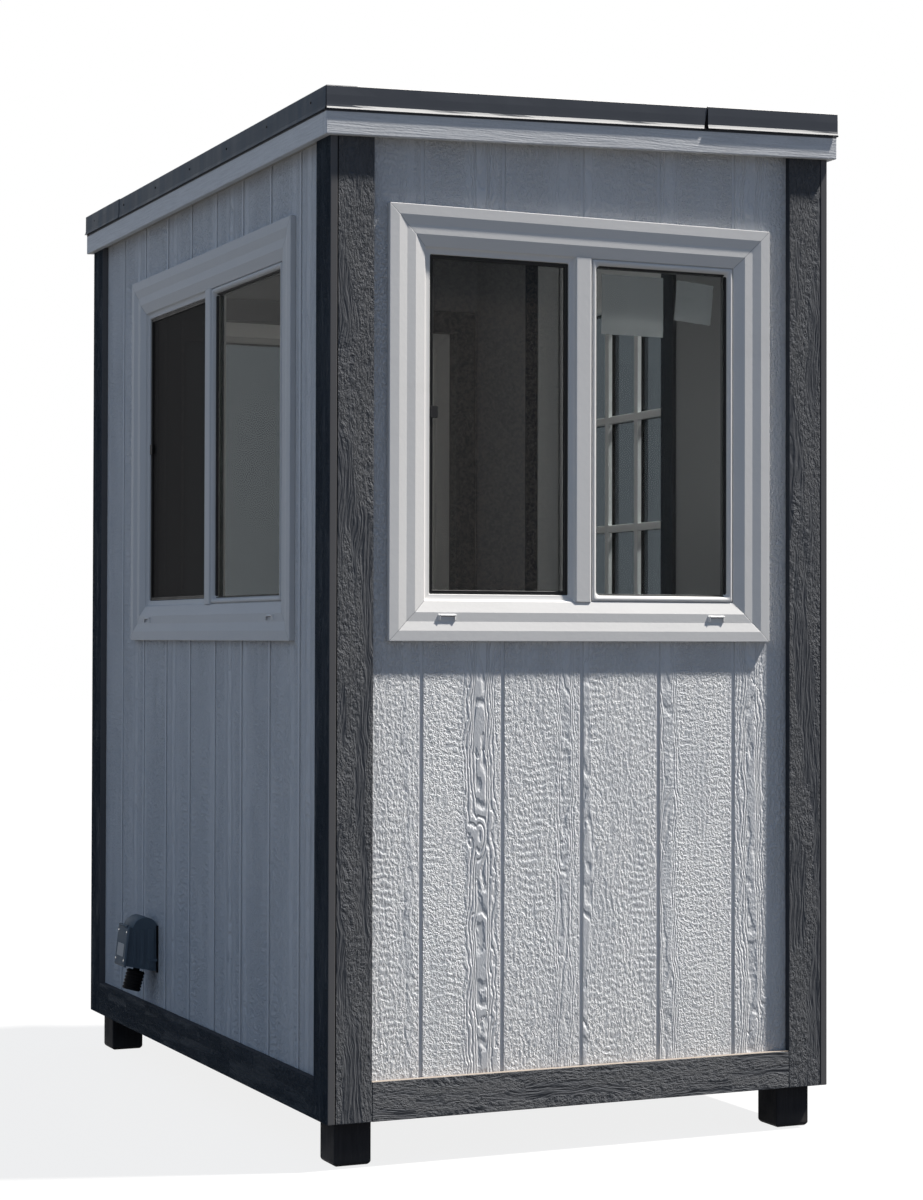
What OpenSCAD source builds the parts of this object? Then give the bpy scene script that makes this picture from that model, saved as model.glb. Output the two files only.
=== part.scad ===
// Security guard booth: a timber cabin on four feet, with grooved plywood siding, dark trim boards,
// white sliding windows on three sides, a half-glazed door on the right and a low shed roof.
// Units are millimetres. X runs to the right, Y to the back and Z up; the front faces -Y.

/* [Cabin] */
// Width of the cabin over the siding
wall_w = 1261; // [1000:1:1600]
// Depth of the cabin over the siding
wall_d = 1872; // [1500:1:2600]
// Height from the door frame up to the fascia's lower edge at the middle of the cabin
head_room = 33; // [30:1:120]
// Rise of the roof from the left edge to the right edge
roof_rise = 49; // [20:1:80]

/* [Base] */
// Height of the feet
foot_h = 102; // [60:1:160]
// Side of a foot
foot_side = 89; // [70:1:100]
// Distance of a foot from the siding line at the sides
foot_inset_x = 12.5; // [5:0.5:60]
// Distance of a foot from the siding line at the front and back
foot_inset_y = 18; // [5:0.5:60]
// Height of the floor frame
frame_h = 89; // [80:1:140]
// Thickness of the floor deck
deck_t = 18; // [12:1:28]

/* [Walls] */
// Thickness of the framed and lined wall behind the siding
core_t = 95; // [80:1:110]
// Thickness of the siding sheets
siding_t = 9.5; // [8:0.5:14]
// Distance between siding grooves
groove_pitch = 203.2; // [150:0.1:310]
// Width of a siding groove
groove_w = 9.5; // [6:0.5:14]
// Depth of a siding groove
groove_d = 3; // [2:0.5:5]
// First groove on the front and back sheets, from the sheet's left edge
groove_first_end = 213.5; // [120:0.5:260]
// First groove on the side sheets, from the front edge
groove_first_side = 211; // [120:0.5:260]

/* [Trim] */
// Thickness of the trim boards
trim_t = 18; // [14:1:24]
// Width of the corner and bottom trim boards
trim_w = 89; // [70:1:100]

/* [Roof] */
// Thickness of the fascia boards
fascia_t = 17; // [14:1:24]
// Height of the roof edge from the fascia's lower edge to the deck's top
roof_edge_h = 105; // [95:1:130]
// Fascia left showing under the flashing
fascia_show = 55; // [40:1:65]
// Distance that the fascia hangs below the roof deck
fascia_drop = 6; // [4:1:12]
// Thickness of the roof membrane
membrane_t = 3; // [2:0.5:5]
// Thickness of the edge flashing
flash_t = 1.5; // [1:0.1:2.5]
// Width of the flashing on top of the roof
flash_top_w = 75; // [50:1:100]
// Reach of the hem at the flashing's lower edge
hem = 6; // [3:0.5:9]

/* [Windows] */
// Siding that shows between a corner board and an end window
end_margin = 45.5; // [40:0.5:120]
// Siding from the edge of the left wall to its window
side_margin = 300; // [200:1:420]
// Height of a window over its frame
win_h = 990; // [800:1:1200]
// Height from a window frame's top to the fascia's lower edge on the low side
win_drop = 137; // [60:1:220]
// Offset of the front window from the middle of the wall
front_win_off = -7; // [-12:1:12]
// Offset of the left window towards the back
left_win_off = -52; // [-80:1:60]
// Height of a window frame's outer step over the siding
win_proud = 14; // [12:1:18]
// Width of a window frame's stepped face
win_face = 93; // [88:1:100]
// Width of the frame's flange outside the wall opening
win_flange = 39; // [30:1:50]
// Depth of a window frame inside the wall
win_depth = 60; // [50:1:80]
// Width of the bar between the panes
mullion_w = 42; // [36:1:56]
// Offset of that bar towards the fixed pane
mullion_off = 0.5; // [-6:0.5:6]
// Width of the glazing bead
bead_w = 16; // [10:1:20]
// Width of the frame around the sliding pane
rail_w = 15; // [10:1:20]
// Thickness of the window panes
pane_t = 4; // [3:0.5:6]
// Width of the insect screen's frame
screen_w = 9; // [6:1:14]

/* [Inside casings] */
// Width of the boards around the openings on the inside
casing_w = 63; // [50:1:64]
// Height of the board over the doorway
casing_head = 50; // [40:1:55]
// Thickness of the boards around the openings on the inside
casing_t = 12; // [9:1:15]
// Thickness of the liners in the window openings
liner_t = 12; // [9:1:16]

/* [Door] */
// Width of the door leaf
leaf_w = 762; // [690:1:840]
// Height of the door leaf
leaf_h = 2032; // [1800:1:2200]
// Thickness of the door leaf
leaf_t = 44.5; // [38:0.5:48]
// Distance of the door's centre behind the middle of the wall
door_off = 25; // [-20:1:40]
// Gap between the leaf and the frame at the hinges and the head
leaf_gap = 6; // [5:0.5:7]
// Gap between the leaf and the frame at the latch, and under the leaf
latch_gap = 8; // [7.5:0.5:10]
// Thickness of the door frame
jamb_t = 19; // [16:1:25]
// Reach of the door stop into the opening
stop_w = 12; // [10:1:16]
// Gap between the leaf and the stop
stop_gap = 5.5; // [5:0.5:8]
// Height of the threshold over the floor
threshold_h = 20; // [14:1:24]
// Leaf on either side of the glazed opening
lite_side = 122; // [116:1:170]
// Height of the glazed opening as a part of the leaf's height
lite_part = 0.45; // [0.35:0.01:0.46]
// Leaf over the glazed opening
lite_top = 169; // [120:1:200]
// Width of the rim around the door's glass
lite_rim = 20; // [16:1:26]
// Height of the rim over the door's faces
lite_proud = 8; // [5:1:12]
// Height of the leaf's plain rail under its panels
panel_from_low = 230; // [180:1:300]
// Width of the leaf's plain rail between its panels and the glazed opening
panel_from_lite = 170; // [130:1:240]
// Width of the plain stile between the two panels
panel_part = 90; // [70:1:130]
// Height of the knob as a part of the leaf's height
knob_part = 0.425; // [0.38:0.005:0.43]
// Distance of the knob from the leaf's latch edge
knob_set = 62; // [60:1:70]
// Radius of the knob
knob_r = 27; // [22:0.5:30]

/* [Hinges] */
// Height of a hinge
hinge_h = 101; // [89:1:114]
// Radius of the hinge knuckles
knuckle_r = 7; // [6:0.5:8]
// Radius of the hinge pins
pin_r = 4; // [3:0.1:4.5]
// Running clearance of a pin in its knuckle
pin_play = 0.05; // [0.02:0.01:0.1]
// Gap between the knuckles of a hinge
knuckle_gap = 1; // [0.5:0.1:2]
// Thickness of the hinge plates
plate_t = 2.4; // [2:0.1:2.6]
// Number of hinges
hinge_n = 3; // [2:1:4]
// Distance of the lowest hinge's middle from the leaf's lower edge
hinge_from_low = 230; // [180:1:300]
// Distance of the highest hinge's middle from the leaf's upper edge
hinge_from_top = 180; // [140:1:260]
// Distance of the hinge axis outside the leaf's face
axis_out = 15; // [13:0.5:20]
// Length of the plates along the leaf's edge
plate_w = 32; // [24:1:38]

/* [Power inlet] */
// Width of the inlet box along the wall
inlet_w = 89; // [75:1:110]
// Reach of the inlet box from the siding
inlet_reach = 90; // [75:1:95]
// Lean of the inlet's face towards the wall at its top
inlet_lean = 12; // [0:1:16]
// Height of the inlet box's underside
inlet_z = 282; // [240:1:400]
// Height of the inlet box without its hood
inlet_h = 122; // [100:1:140]
// Radius of the hood on top of the box
hood_r = 36; // [28:1:40]
// Distance of the inlet box behind the middle of the wall
inlet_off = 403; // [300:1:600]
// Radius of the inlet socket
socket_r = 25; // [20:1:28]
// Length of the inlet socket
socket_len = 54; // [45:1:65]
// Lean of the socket away from the wall, in degrees
socket_lean = 15; // [0:1:25]

/* [Hidden] */
$fn = 48;
// half sizes over the siding, the trim, the wall core and the room
hw = wall_w / 2;
hd = wall_d / 2;
trim_x = hw + trim_t;
trim_y = hd + trim_t;
core_x = hw - siding_t;
core_y = hd - siding_t;
room_x = core_x - core_t;
room_y = core_y - core_t;
edge_x = trim_x + fascia_t;
edge_y = trim_y + fascia_t;
frame_top = foot_h + frame_h;
floor_z = frame_top + deck_t;
slope = roof_rise / (2 * edge_x);
slope_deg = atan(slope);
// hairline left where a level piece meets the sloping roof
seat = 0.2;
// heights over the fascia's lower edge
deck_low = fascia_drop;
wall_top = fascia_drop - seat;
membrane_low = roof_edge_h + seat;
flash_low = membrane_low + membrane_t + seat;
// the windows' widths and the height of their undersides
end_win_w = wall_w - 2 * (trim_w + end_margin);
side_win_w = wall_d - 2 * side_margin;
// the stepped face of a window frame, from its outer edge inwards
win_step_1 = 24;
win_step_2 = 45;
win_step_3 = 66;
win_mid_drop = 5;
win_mid = win_proud - win_mid_drop;
win_fit = 2;
bead_proud = 5;
mullion_proud = 10;
pane_back = 14;
sash_back = 40;
rail_deep = 6;
screen_deep = 10;
screen_t = 8;
mesh_t = 1;
// the door's planes
leaf_proud = 9.5;
leaf_out = hw + leaf_proud;
leaf_in = leaf_out - leaf_t;
leaf_y0 = door_off - leaf_w / 2;
leaf_y1 = door_off + leaf_w / 2;
leaf_z = floor_z + threshold_h + latch_gap;
jamb_y0 = leaf_y0 - latch_gap;
jamb_y1 = leaf_y1 + leaf_gap;
head_z = leaf_z + leaf_h + leaf_gap;
rough_y0 = jamb_y0 - jamb_t;
rough_y1 = jamb_y1 + jamb_t;
rough_z = head_z + jamb_t;
eave_z = rough_z + head_room;
win_z = eave_z - roof_rise / 2 - win_drop - win_h;
reveal = 5;
lite_w = leaf_w - 2 * lite_side;
lite_h = lite_part * leaf_h;
lite_z = leaf_h - lite_top - lite_h;
lite_glass_t = 16;
panel_w = (lite_w - panel_part) / 2;
panel_h = lite_z - panel_from_low - panel_from_lite;
panel_d = 5;
panel_bevel = 14;
panel_flat = 12;
field_bevel = 26;
field_low = 1;
lite_rebate = 8;
spindle_r = 7;
spindle_hole_r = 12;
rose_r = 33;
rose_t = 8;
knob_reach = 62;
knob_z = knob_part * leaf_h;
// the hinge axis stands outside the leaf's face, between the leaf and the frame
axis_x = leaf_out + axis_out;
axis_y = leaf_y1 + leaf_gap / 2;
knuckle_h = (hinge_h - 2 * knuckle_gap) / 3;
hinge_low = leaf_z + hinge_from_low;
hinge_high = leaf_z + leaf_h - hinge_from_top;
// the inlet's lid and socket
lid_t = 6;
lid_over = 4;
inlet_fall = 20;
face_h = inlet_h - inlet_fall;
face_len = sqrt(face_h * face_h + inlet_lean * inlet_lean);
hood_sink = 10;
socket_set = 46;
lid_ease = 5;
neck_r = 9;
neck_l = 8;
rib_n = 6;
rib_t = 5;
rib_d = 2;
mouth_d = 30;

// height of the fascia's lower edge at a given X
function eave(x) = eave_z + slope * x;

// a box given by its two corners
module block(a, b) {
  translate(a)
    cube(b - a);
}

// a slice between two X positions, from a level foot up to the slope of the roof, along Y
module under_roof(x0, x1, z0, up, y0, y1) {
  translate([0, y1, 0])
    rotate([90, 0, 0])
      linear_extrude(y1 - y0)
        polygon([[x0, z0], [x1, z0], [x1, eave(x1) + up], [x0, eave(x0) + up]]);
}

// a layer that follows the slope of the roof, between two heights over the eave line
module roof_layer(x0, x1, low, high, y0, y1) {
  translate([0, y1, 0])
    rotate([90, 0, 0])
      linear_extrude(y1 - y0)
        polygon([
          [x0, eave(x0) + low], [x1, eave(x1) + low],
          [x1, eave(x1) + high], [x0, eave(x0) + high]
        ]);
}

// the window places: the front one as drawn, the others turned about Z
module at_front() {
  translate([front_win_off, -hd, win_z])
    children();
}

module at_left() {
  translate([-hw, left_win_off, win_z])
    rotate([0, 0, -90])
      children();
}

module at_back() {
  translate([-front_win_off, hd, win_z])
    rotate([0, 0, 180])
      children();
}

// the hole in a wall and its siding for a window of width w
module window_hole(w) {
  block([-w / 2 + win_flange, -siding_t, win_flange], [w / 2 - win_flange, core_t + 2 * siding_t, win_h - win_flange]);
}

// Base

module feet() {
  color("#1b1b1c")
    for (sx = [-1, 1], sy = [-1, 1])
      translate([sx * (hw - foot_inset_x - foot_side / 2), sy * (hd - foot_inset_y - foot_side / 2), 0])
        foot();
}

// one foot: a square post with its lower edges eased
module foot() {
  ease = 6;
  half = foot_side / 2;
  intersection() {
    foot_outline(half, ease);
    rotate([0, 0, 90])
      foot_outline(half, ease);
  }
}

module foot_outline(half, ease) {
  translate([0, half, 0])
    rotate([90, 0, 0])
      linear_extrude(2 * half)
        polygon([[ease - half, 0], [half - ease, 0], [half, ease], [half, foot_h], [-half, foot_h], [-half, ease]]);
}

module floor_frame() {
  color("#8a7a62")
    block([-core_x, -core_y, foot_h], [core_x, core_y, frame_top]);
}

module floor_deck() {
  color("#7d6f5c")
    block([-core_x, -core_y, frame_top], [core_x, core_y, floor_z]);
}

// Walls

module front_wall() {
  color("#b9b9b6")
    difference() {
      under_roof(-core_x, core_x, floor_z, wall_top, -core_y, -room_y);
      at_front()
        window_hole(end_win_w);
    }
}

module back_wall() {
  color("#b9b9b6")
    difference() {
      under_roof(-core_x, core_x, floor_z, wall_top, room_y, core_y);
      at_back()
        window_hole(end_win_w);
    }
}

module left_wall() {
  color("#b9b9b6")
    difference() {
      under_roof(-core_x, -room_x, floor_z, wall_top, -room_y, room_y);
      at_left()
        window_hole(side_win_w);
    }
}

module right_wall_front() {
  color("#b9b9b6")
    under_roof(room_x, core_x, floor_z, wall_top, -room_y, rough_y0);
}

module right_wall_back() {
  color("#b9b9b6")
    under_roof(room_x, core_x, floor_z, wall_top, rough_y1, room_y);
}

module right_wall_header() {
  color("#b9b9b6")
    under_roof(room_x, core_x, rough_z, wall_top, rough_y0, rough_y1);
}

// Siding

// the grooves of an end sheet whose outer face is at the given Y
module end_grooves(face_y) {
  for (x = [-hw + groove_first_end : groove_pitch : hw - groove_w])
    block([x - groove_w / 2, face_y - groove_d, 0], [x + groove_w / 2, face_y + groove_d, eave_z + roof_rise]);
}

// the grooves of a side sheet whose outer face is at the given X
module side_grooves(face_x) {
  for (y = [-hd + groove_first_side : groove_pitch : hd - groove_w])
    block([face_x - groove_d, y - groove_w / 2, 0], [face_x + groove_d, y + groove_w / 2, eave_z + roof_rise]);
}

module front_siding() {
  color("#d9dad8")
    difference() {
      under_roof(-hw, hw, foot_h, wall_top, -hd, -core_y);
      end_grooves(-hd);
      at_front()
        window_hole(end_win_w);
    }
}

module back_siding() {
  color("#d9dad8")
    difference() {
      under_roof(-hw, hw, foot_h, wall_top, core_y, hd);
      end_grooves(hd);
      at_back()
        window_hole(end_win_w);
    }
}

module left_siding() {
  color("#d9dad8")
    difference() {
      under_roof(-hw, -core_x, foot_h, wall_top, -core_y, core_y);
      side_grooves(-hw);
      at_left()
        window_hole(side_win_w);
    }
}

module right_siding() {
  color("#d9dad8")
    difference() {
      under_roof(core_x, hw, foot_h, wall_top, -core_y, core_y);
      side_grooves(hw);
      block([room_x, rough_y0, floor_z], [trim_x, rough_y1, rough_z]);
    }
}

// Trim boards

module end_corner_trims() {
  color("#3d3f42")
    for (sy = [-1, 1])
      translate([0, sy * (hd + trim_t / 2), 0]) {
        under_roof(-hw, -hw + trim_w, foot_h, wall_top, -trim_t / 2, trim_t / 2);
        under_roof(hw - trim_w, hw, foot_h, wall_top, -trim_t / 2, trim_t / 2);
      }
}

// the side boards run out flush with the faces of the end boards
module side_corner_trims() {
  color("#3d3f42")
    for (sy = [-1, 1])
      translate([0, sy * (trim_y - trim_w / 2), 0]) {
        under_roof(-trim_x, -hw, foot_h, wall_top, -trim_w / 2, trim_w / 2);
        under_roof(hw, trim_x, foot_h, wall_top, -trim_w / 2, trim_w / 2);
      }
}

module bottom_trims() {
  top = foot_h + trim_w;
  end_y = trim_y - trim_w;
  color("#3d3f42") {
    for (sy = [-1, 1])
      translate([0, sy * (hd + trim_t / 2), 0])
        block([-hw + trim_w, -trim_t / 2, foot_h], [hw - trim_w, trim_t / 2, top]);
    for (sx = [-1, 1])
      translate([sx * (hw + trim_t / 2), 0, 0])
        block([-trim_t / 2, -end_y, foot_h], [trim_t / 2, end_y, top]);
  }
}

// Roof

module roof_deck() {
  color("#a79a83")
    roof_layer(-trim_x, trim_x, deck_low, roof_edge_h, -trim_y, trim_y);
}

module end_fascias() {
  color("#d9dad8") {
    roof_layer(-edge_x, edge_x, 0, roof_edge_h, -edge_y, -trim_y);
    roof_layer(-edge_x, edge_x, 0, roof_edge_h, trim_y, edge_y);
  }
}

module side_fascias() {
  color("#d9dad8") {
    roof_layer(-edge_x, -trim_x, 0, roof_edge_h, -trim_y, trim_y);
    roof_layer(trim_x, edge_x, 0, roof_edge_h, -trim_y, trim_y);
  }
}

module roof_membrane() {
  color("#4a4c4f")
    roof_layer(-edge_x, edge_x, membrane_low, membrane_low + membrane_t, -edge_y, edge_y);
}

// the section of a drip edge: a top leg, a face and a hem kicked out at the foot; the edge is at x = 0
module flash_section(top_w) {
  face_h = flash_low - fascia_show;
  polygon([
    [0, 0], [top_w, 0], [top_w, flash_t], [-flash_t, flash_t],
    [-flash_t, -face_h + hem], [-flash_t - hem, -face_h],
    [-hem, -face_h], [0, -face_h + hem]
  ]);
}

module end_flashings() {
  color("#5b5e62")
    for (sy = [-1, 1])
      mirror([0, sy > 0 ? 1 : 0, 0])
        intersection() {
          translate([0, -edge_y, eave_z + flash_low])
            rotate([0, -slope_deg, 0])
              translate([-1.1 * edge_x, 0, 0])
                rotate([90, 0, 90])
                  linear_extrude(2.2 * edge_x)
                    flash_section(flash_top_w);
          block([-edge_x, -2 * edge_y, 0], [edge_x, 0, 2 * eave_z]);
        }
}

module side_flashings() {
  run = edge_y + flash_t;
  color("#5b5e62")
    for (sx = [-1, 1])
      difference() {
        translate([sx * edge_x, run, eave(sx * edge_x) + flash_low])
          rotate([90, 0, 0])
            linear_extrude(2 * run)
              mirror([sx > 0 ? 1 : 0, 0])
                sloped_flash_section(-sx * slope);
        for (sy = [-1, 1])
          translate([0, sy * edge_y, 0])
            roof_corner_clear();
      }
}

// the drip edge of a side, whose top leg rises or falls with the roof
module sloped_flash_section(rise) {
  face_h = flash_low - fascia_show;
  top_w = flash_top_w;
  polygon([
    [0, 0], [top_w, rise * top_w], [top_w, rise * top_w + flash_t], [-flash_t, flash_t - rise * flash_t],
    [-flash_t, -face_h + hem], [-flash_t - hem, -face_h],
    [-hem, -face_h], [0, -face_h + hem]
  ]);
}

// keeps the side flashings' top legs clear of the end ones
module roof_corner_clear() {
  block([-edge_x, -flash_top_w, eave_z - roof_rise + flash_low - 2], [edge_x, flash_top_w, 2 * eave_z]);
}

// Windows, drawn as seen from outside: X to the right, Y into the wall, Z up from the frame's underside

// the stepped face of a frame bar, from the outer edge at x = 0 inwards; y is the height over the siding
module frame_face() {
  polygon([
    [0, 0], [0, win_proud], [win_step_1, win_proud], [win_step_2, win_mid],
    [win_step_3, win_mid], [win_face, 0]
  ]);
}

module window_frame(w) {
  color("#f4f5f5") {
    for (s = [0, 1])
      mirror([s, 0, 0])
        translate([-w / 2, 0, 0])
          linear_extrude(win_h)
            mirror([0, 1])
              frame_face();
    for (s = [0, 1])
      translate([0, 0, s * win_h])
        mirror([0, 0, s])
          translate([w / 2, 0, 0])
            rotate([0, -90, 0])
              linear_extrude(w)
                mirror([0, 1])
                  frame_face();
    window_box(w);
  }
}

// the part of the frame that stands in the wall opening
module window_box(w) {
  o = win_flange + win_fit;
  difference() {
    block([-w / 2 + o, 0, o], [w / 2 - o, win_depth, win_h - o]);
    block([-w / 2 + win_face, -1, win_face], [w / 2 - win_face, win_depth + 1, win_h - win_face]);
  }
}

// the bar between the panes, with the bead that holds the fixed pane and the frame of the sliding one
module window_sash(w) {
  x0 = mullion_off - mullion_w / 2;
  x1 = mullion_off + mullion_w / 2;
  xr = w / 2 - win_face;
  z0 = win_face;
  z1 = win_h - win_face;
  color("#eef0f0") {
    block([x0, -mullion_proud, z0], [x1, sash_back, z1]);
    difference() {
      block([x1, -bead_proud, z0], [xr, pane_back, z1]);
      block([x1 + bead_w, -bead_proud - 1, z0 + bead_w], [xr - bead_w, pane_back + 1, z1 - bead_w]);
    }
    difference() {
      block([-xr, rail_deep, z0], [x0, sash_back, z1]);
      sliding_half(w, rail_deep - 1, sash_back + 1);
    }
  }
}

// what lies inside the frame of the sliding half, between two depths
module sliding_half(w, y0, y1) {
  block(
    [-w / 2 + win_face + rail_w, y0, win_face + rail_w],
    [mullion_off - mullion_w / 2 - rail_w, y1, win_h - win_face - rail_w]
  );
}

module window_glass(w) {
  xr = w / 2 - win_face;
  z0 = win_face;
  z1 = win_h - win_face;
  color("#9fb4bd", 0.4) {
    block([mullion_off + mullion_w / 2, pane_back, z0], [xr, pane_back + pane_t, z1]);
    sliding_half(w, sash_back - 2 * pane_t, sash_back - pane_t);
  }
}

// the insect screen in front of the sliding half: a thin frame round a sheet of mesh
module window_screen(w) {
  x0 = -w / 2 + win_face + rail_w + screen_w;
  x1 = mullion_off - mullion_w / 2 - rail_w - screen_w;
  z0 = win_face + rail_w + screen_w;
  z1 = win_h - z0;
  lap = screen_w / 2;
  mid = screen_deep + screen_t / 2;
  color("#2c2e30") {
    difference() {
      sliding_half(w, screen_deep, screen_deep + screen_t);
      block([x0, screen_deep - 1, z0], [x1, screen_deep + screen_t + 1, z1]);
    }
    block([x0 - lap, mid, z0 - lap], [x1 + lap, mid + mesh_t, z1 + lap]);
  }
}

// the boards round a window on the inside, with the liner of the opening
module window_casing(w) {
  face = siding_t + core_t;
  o = win_flange;
  i = win_flange + liner_t;
  out = i - casing_w;
  color("#46484b")
    difference() {
      union() {
        block([-w / 2 + o, win_depth, o], [w / 2 - o, face, win_h - o]);
        block([-w / 2 + out, face, out], [w / 2 - out, face + casing_t, win_h - out]);
      }
      block([-w / 2 + i, win_depth - 1, i], [w / 2 - i, face + casing_t + 1, win_h - i]);
    }
}

module front_window_frame() {
  at_front()
    window_frame(end_win_w);
}

module front_window_sash() {
  at_front()
    window_sash(end_win_w);
}

module front_window_glass() {
  at_front()
    window_glass(end_win_w);
}

module left_window_frame() {
  at_left()
    window_frame(side_win_w);
}

module left_window_sash() {
  at_left()
    window_sash(side_win_w);
}

module left_window_glass() {
  at_left()
    window_glass(side_win_w);
}

module back_window_frame() {
  at_back()
    window_frame(end_win_w);
}

module back_window_sash() {
  at_back()
    window_sash(end_win_w);
}

module back_window_glass() {
  at_back()
    window_glass(end_win_w);
}

module window_screens() {
  at_front()
    window_screen(end_win_w);
  at_left()
    window_screen(side_win_w);
  at_back()
    window_screen(end_win_w);
}

module window_casings() {
  at_front()
    window_casing(end_win_w);
  at_left()
    window_casing(side_win_w);
  at_back()
    window_casing(end_win_w);
}

// Door

// the jambs and head, with the stop that the leaf closes against
module door_frame() {
  stop_x1 = leaf_in - stop_gap;
  color("#e4e5e4")
    difference() {
      block([room_x, rough_y0, floor_z], [hw, rough_y1, rough_z]);
      block([room_x - 1, jamb_y0 + stop_w, floor_z - 1], [hw + 1, jamb_y1 - stop_w, head_z - stop_w]);
      block([stop_x1, jamb_y0, floor_z - 1], [hw + 1, jamb_y1, head_z]);
    }
}

// the boards round the doorway, outside and inside
module door_casings() {
  color("#3d3f42") {
    casing_arch(hw, trim_x, jamb_y0 - reveal, jamb_y1 + reveal, head_z + reveal, foot_h + trim_w);
    casing_arch(room_x - casing_t, room_x, jamb_y0 + stop_w - reveal, jamb_y1 - stop_w + reveal, head_z - reveal, floor_z);
  }
}

// two uprights and a head board round an opening
module casing_arch(x0, x1, y0, y1, z1, z0) {
  difference() {
    block([x0, y0 - casing_w, z0], [x1, y1 + casing_w, z1 + casing_head]);
    block([x0 - 1, y0, z0 - 1], [x1 + 1, y1, z1]);
  }
}

module door_threshold() {
  color("#8d9092")
    translate([0, jamb_y1 - stop_w, 0])
      rotate([90, 0, 0])
        linear_extrude(jamb_y1 - jamb_y0 - 2 * stop_w)
          polygon([
            [room_x, floor_z], [trim_x, floor_z], [trim_x, floor_z + 6], [leaf_out, floor_z + threshold_h],
            [room_x + 20, floor_z + threshold_h], [room_x, floor_z + 8]
          ]);
}

module door_leaf() {
  hole_y0 = door_off - lite_w / 2 - lite_rim;
  hole_y1 = door_off + lite_w / 2 + lite_rim;
  hole_z0 = leaf_z + lite_z - lite_rim;
  hole_z1 = leaf_z + lite_z + lite_h + lite_rim;
  color("#e9eaea")
    difference() {
      block([leaf_in, leaf_y0, leaf_z], [leaf_out, leaf_y1, leaf_z + leaf_h]);
      block([leaf_in - 1, hole_y0, hole_z0], [leaf_out + 1, hole_y1, hole_z1]);
      translate([leaf_in - 1, leaf_y0 + knob_set, leaf_z + knob_z])
        rotate([0, 90, 0])
          cylinder(r = spindle_hole_r, h = leaf_t + 2);
      for (s = [-1, 1])
        translate([0, door_off + s * (panel_w + panel_part) / 2, leaf_z + panel_from_low + panel_h / 2]) {
          translate([leaf_out, 0, 0])
            rotate([0, 90, 0])
              panel_cut();
          translate([leaf_in, 0, 0])
            rotate([0, -90, 0])
              panel_cut();
        }
    }
}

// the sunk border of a door panel, cut from the face at z = 0 round a raised field
module panel_cut() {
  over = 1;
  low = panel_bevel + panel_flat;
  difference() {
    frustum(panel_bevel, -panel_d, -panel_bevel * over / panel_d, over);
    frustum(low, -panel_d - over, low + field_bevel, -field_low);
  }
}

// a block that tapers from one inset of the panel's outline at z0 to another at z1
module frustum(inset_0, z0, inset_1, z1) {
  corners = [[-1, -1], [1, -1], [1, 1], [-1, 1]];
  polyhedron(
    points = [
      for (end = [[inset_0, z0], [inset_1, z1]], c = corners)
        [c[0] * (panel_h / 2 - end[0]), c[1] * (panel_w / 2 - end[0]), end[1]]
    ],
    faces = [[0, 1, 2, 3], [4, 5, 1, 0], [7, 6, 5, 4], [5, 6, 2, 1], [6, 7, 3, 2], [7, 4, 0, 3]]
  );
}

// the rim that clamps the glass in the leaf, proud of both faces
module door_lite_frame() {
  rim = 2 * lite_rim;
  y0 = door_off - lite_w / 2;
  y1 = door_off + lite_w / 2;
  z0 = leaf_z + lite_z;
  z1 = z0 + lite_h;
  mid = (leaf_in + leaf_out) / 2;
  color("#f2f3f3")
    difference() {
      union() {
        block([leaf_in, y0 - lite_rim, z0 - lite_rim], [leaf_out, y1 + lite_rim, z1 + lite_rim]);
        block([leaf_out, y0 - rim, z0 - rim], [leaf_out + lite_proud, y1 + rim, z1 + rim]);
        block([leaf_in - lite_proud, y0 - rim, z0 - rim], [leaf_in, y1 + rim, z1 + rim]);
      }
      block([leaf_in - rim, y0, z0], [leaf_out + rim, y1, z1]);
      block([mid - lite_glass_t / 2, y0 - lite_rebate, z0 - lite_rebate], [mid + lite_glass_t / 2, y1 + lite_rebate, z1 + lite_rebate]);
    }
}

module door_glass() {
  mid = (leaf_in + leaf_out) / 2;
  color("#9fb4bd", 0.4)
    block(
      [mid - lite_glass_t / 2, door_off - lite_w / 2 - lite_rebate, leaf_z + lite_z - lite_rebate],
      [mid + lite_glass_t / 2, door_off + lite_w / 2 + lite_rebate, leaf_z + lite_z + lite_h + lite_rebate]
    );
}

// a knob with its rose on each face, on one spindle
module door_knobs() {
  color("#b9bbbd")
    translate([0, leaf_y0 + knob_set, leaf_z + knob_z]) {
      translate([leaf_out, 0, 0])
        rotate([0, 90, 0])
          knob();
      translate([leaf_in, 0, 0])
        rotate([0, -90, 0])
          knob();
      translate([leaf_in - 1, 0, 0])
        rotate([0, 90, 0])
          cylinder(r = spindle_r, h = leaf_t + 2);
    }
}

module knob() {
  neck_r = 11;
  flat = 6;
  rotate_extrude()
    polygon([
      [0, 0], [rose_r, 0], [rose_r, rose_t - 4], [rose_r - 4, rose_t], [neck_r, rose_t + 4],
      [neck_r, 26], [knob_r - 5, 32], [knob_r, 38], [knob_r, 50], [knob_r - flat, knob_reach - 2], [0, knob_reach]
    ]);
}

// Hinges

module at_hinges() {
  for (i = [0 : hinge_n - 1])
    translate([axis_x, axis_y, hinge_low + i * (hinge_high - hinge_low) / (hinge_n - 1) - hinge_h / 2])
      children();
}

// the halves on the frame: a plate with two knuckles and the pin
module hinge_frame_leaves() {
  top = hinge_h - knuckle_h;
  color("#a9abad")
    at_hinges() {
      for (z = [0, top])
        translate([0, 0, z]) {
          cylinder(r = knuckle_r, h = knuckle_h);
          hinge_plate(leaf_gap / 2 - plate_t, knuckle_h);
        }
      cylinder(r = pin_r, h = hinge_h);
      block([-axis_out - plate_w, leaf_gap / 2 - plate_t, 0], [-axis_out, leaf_gap / 2, hinge_h]);
    }
}

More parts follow.
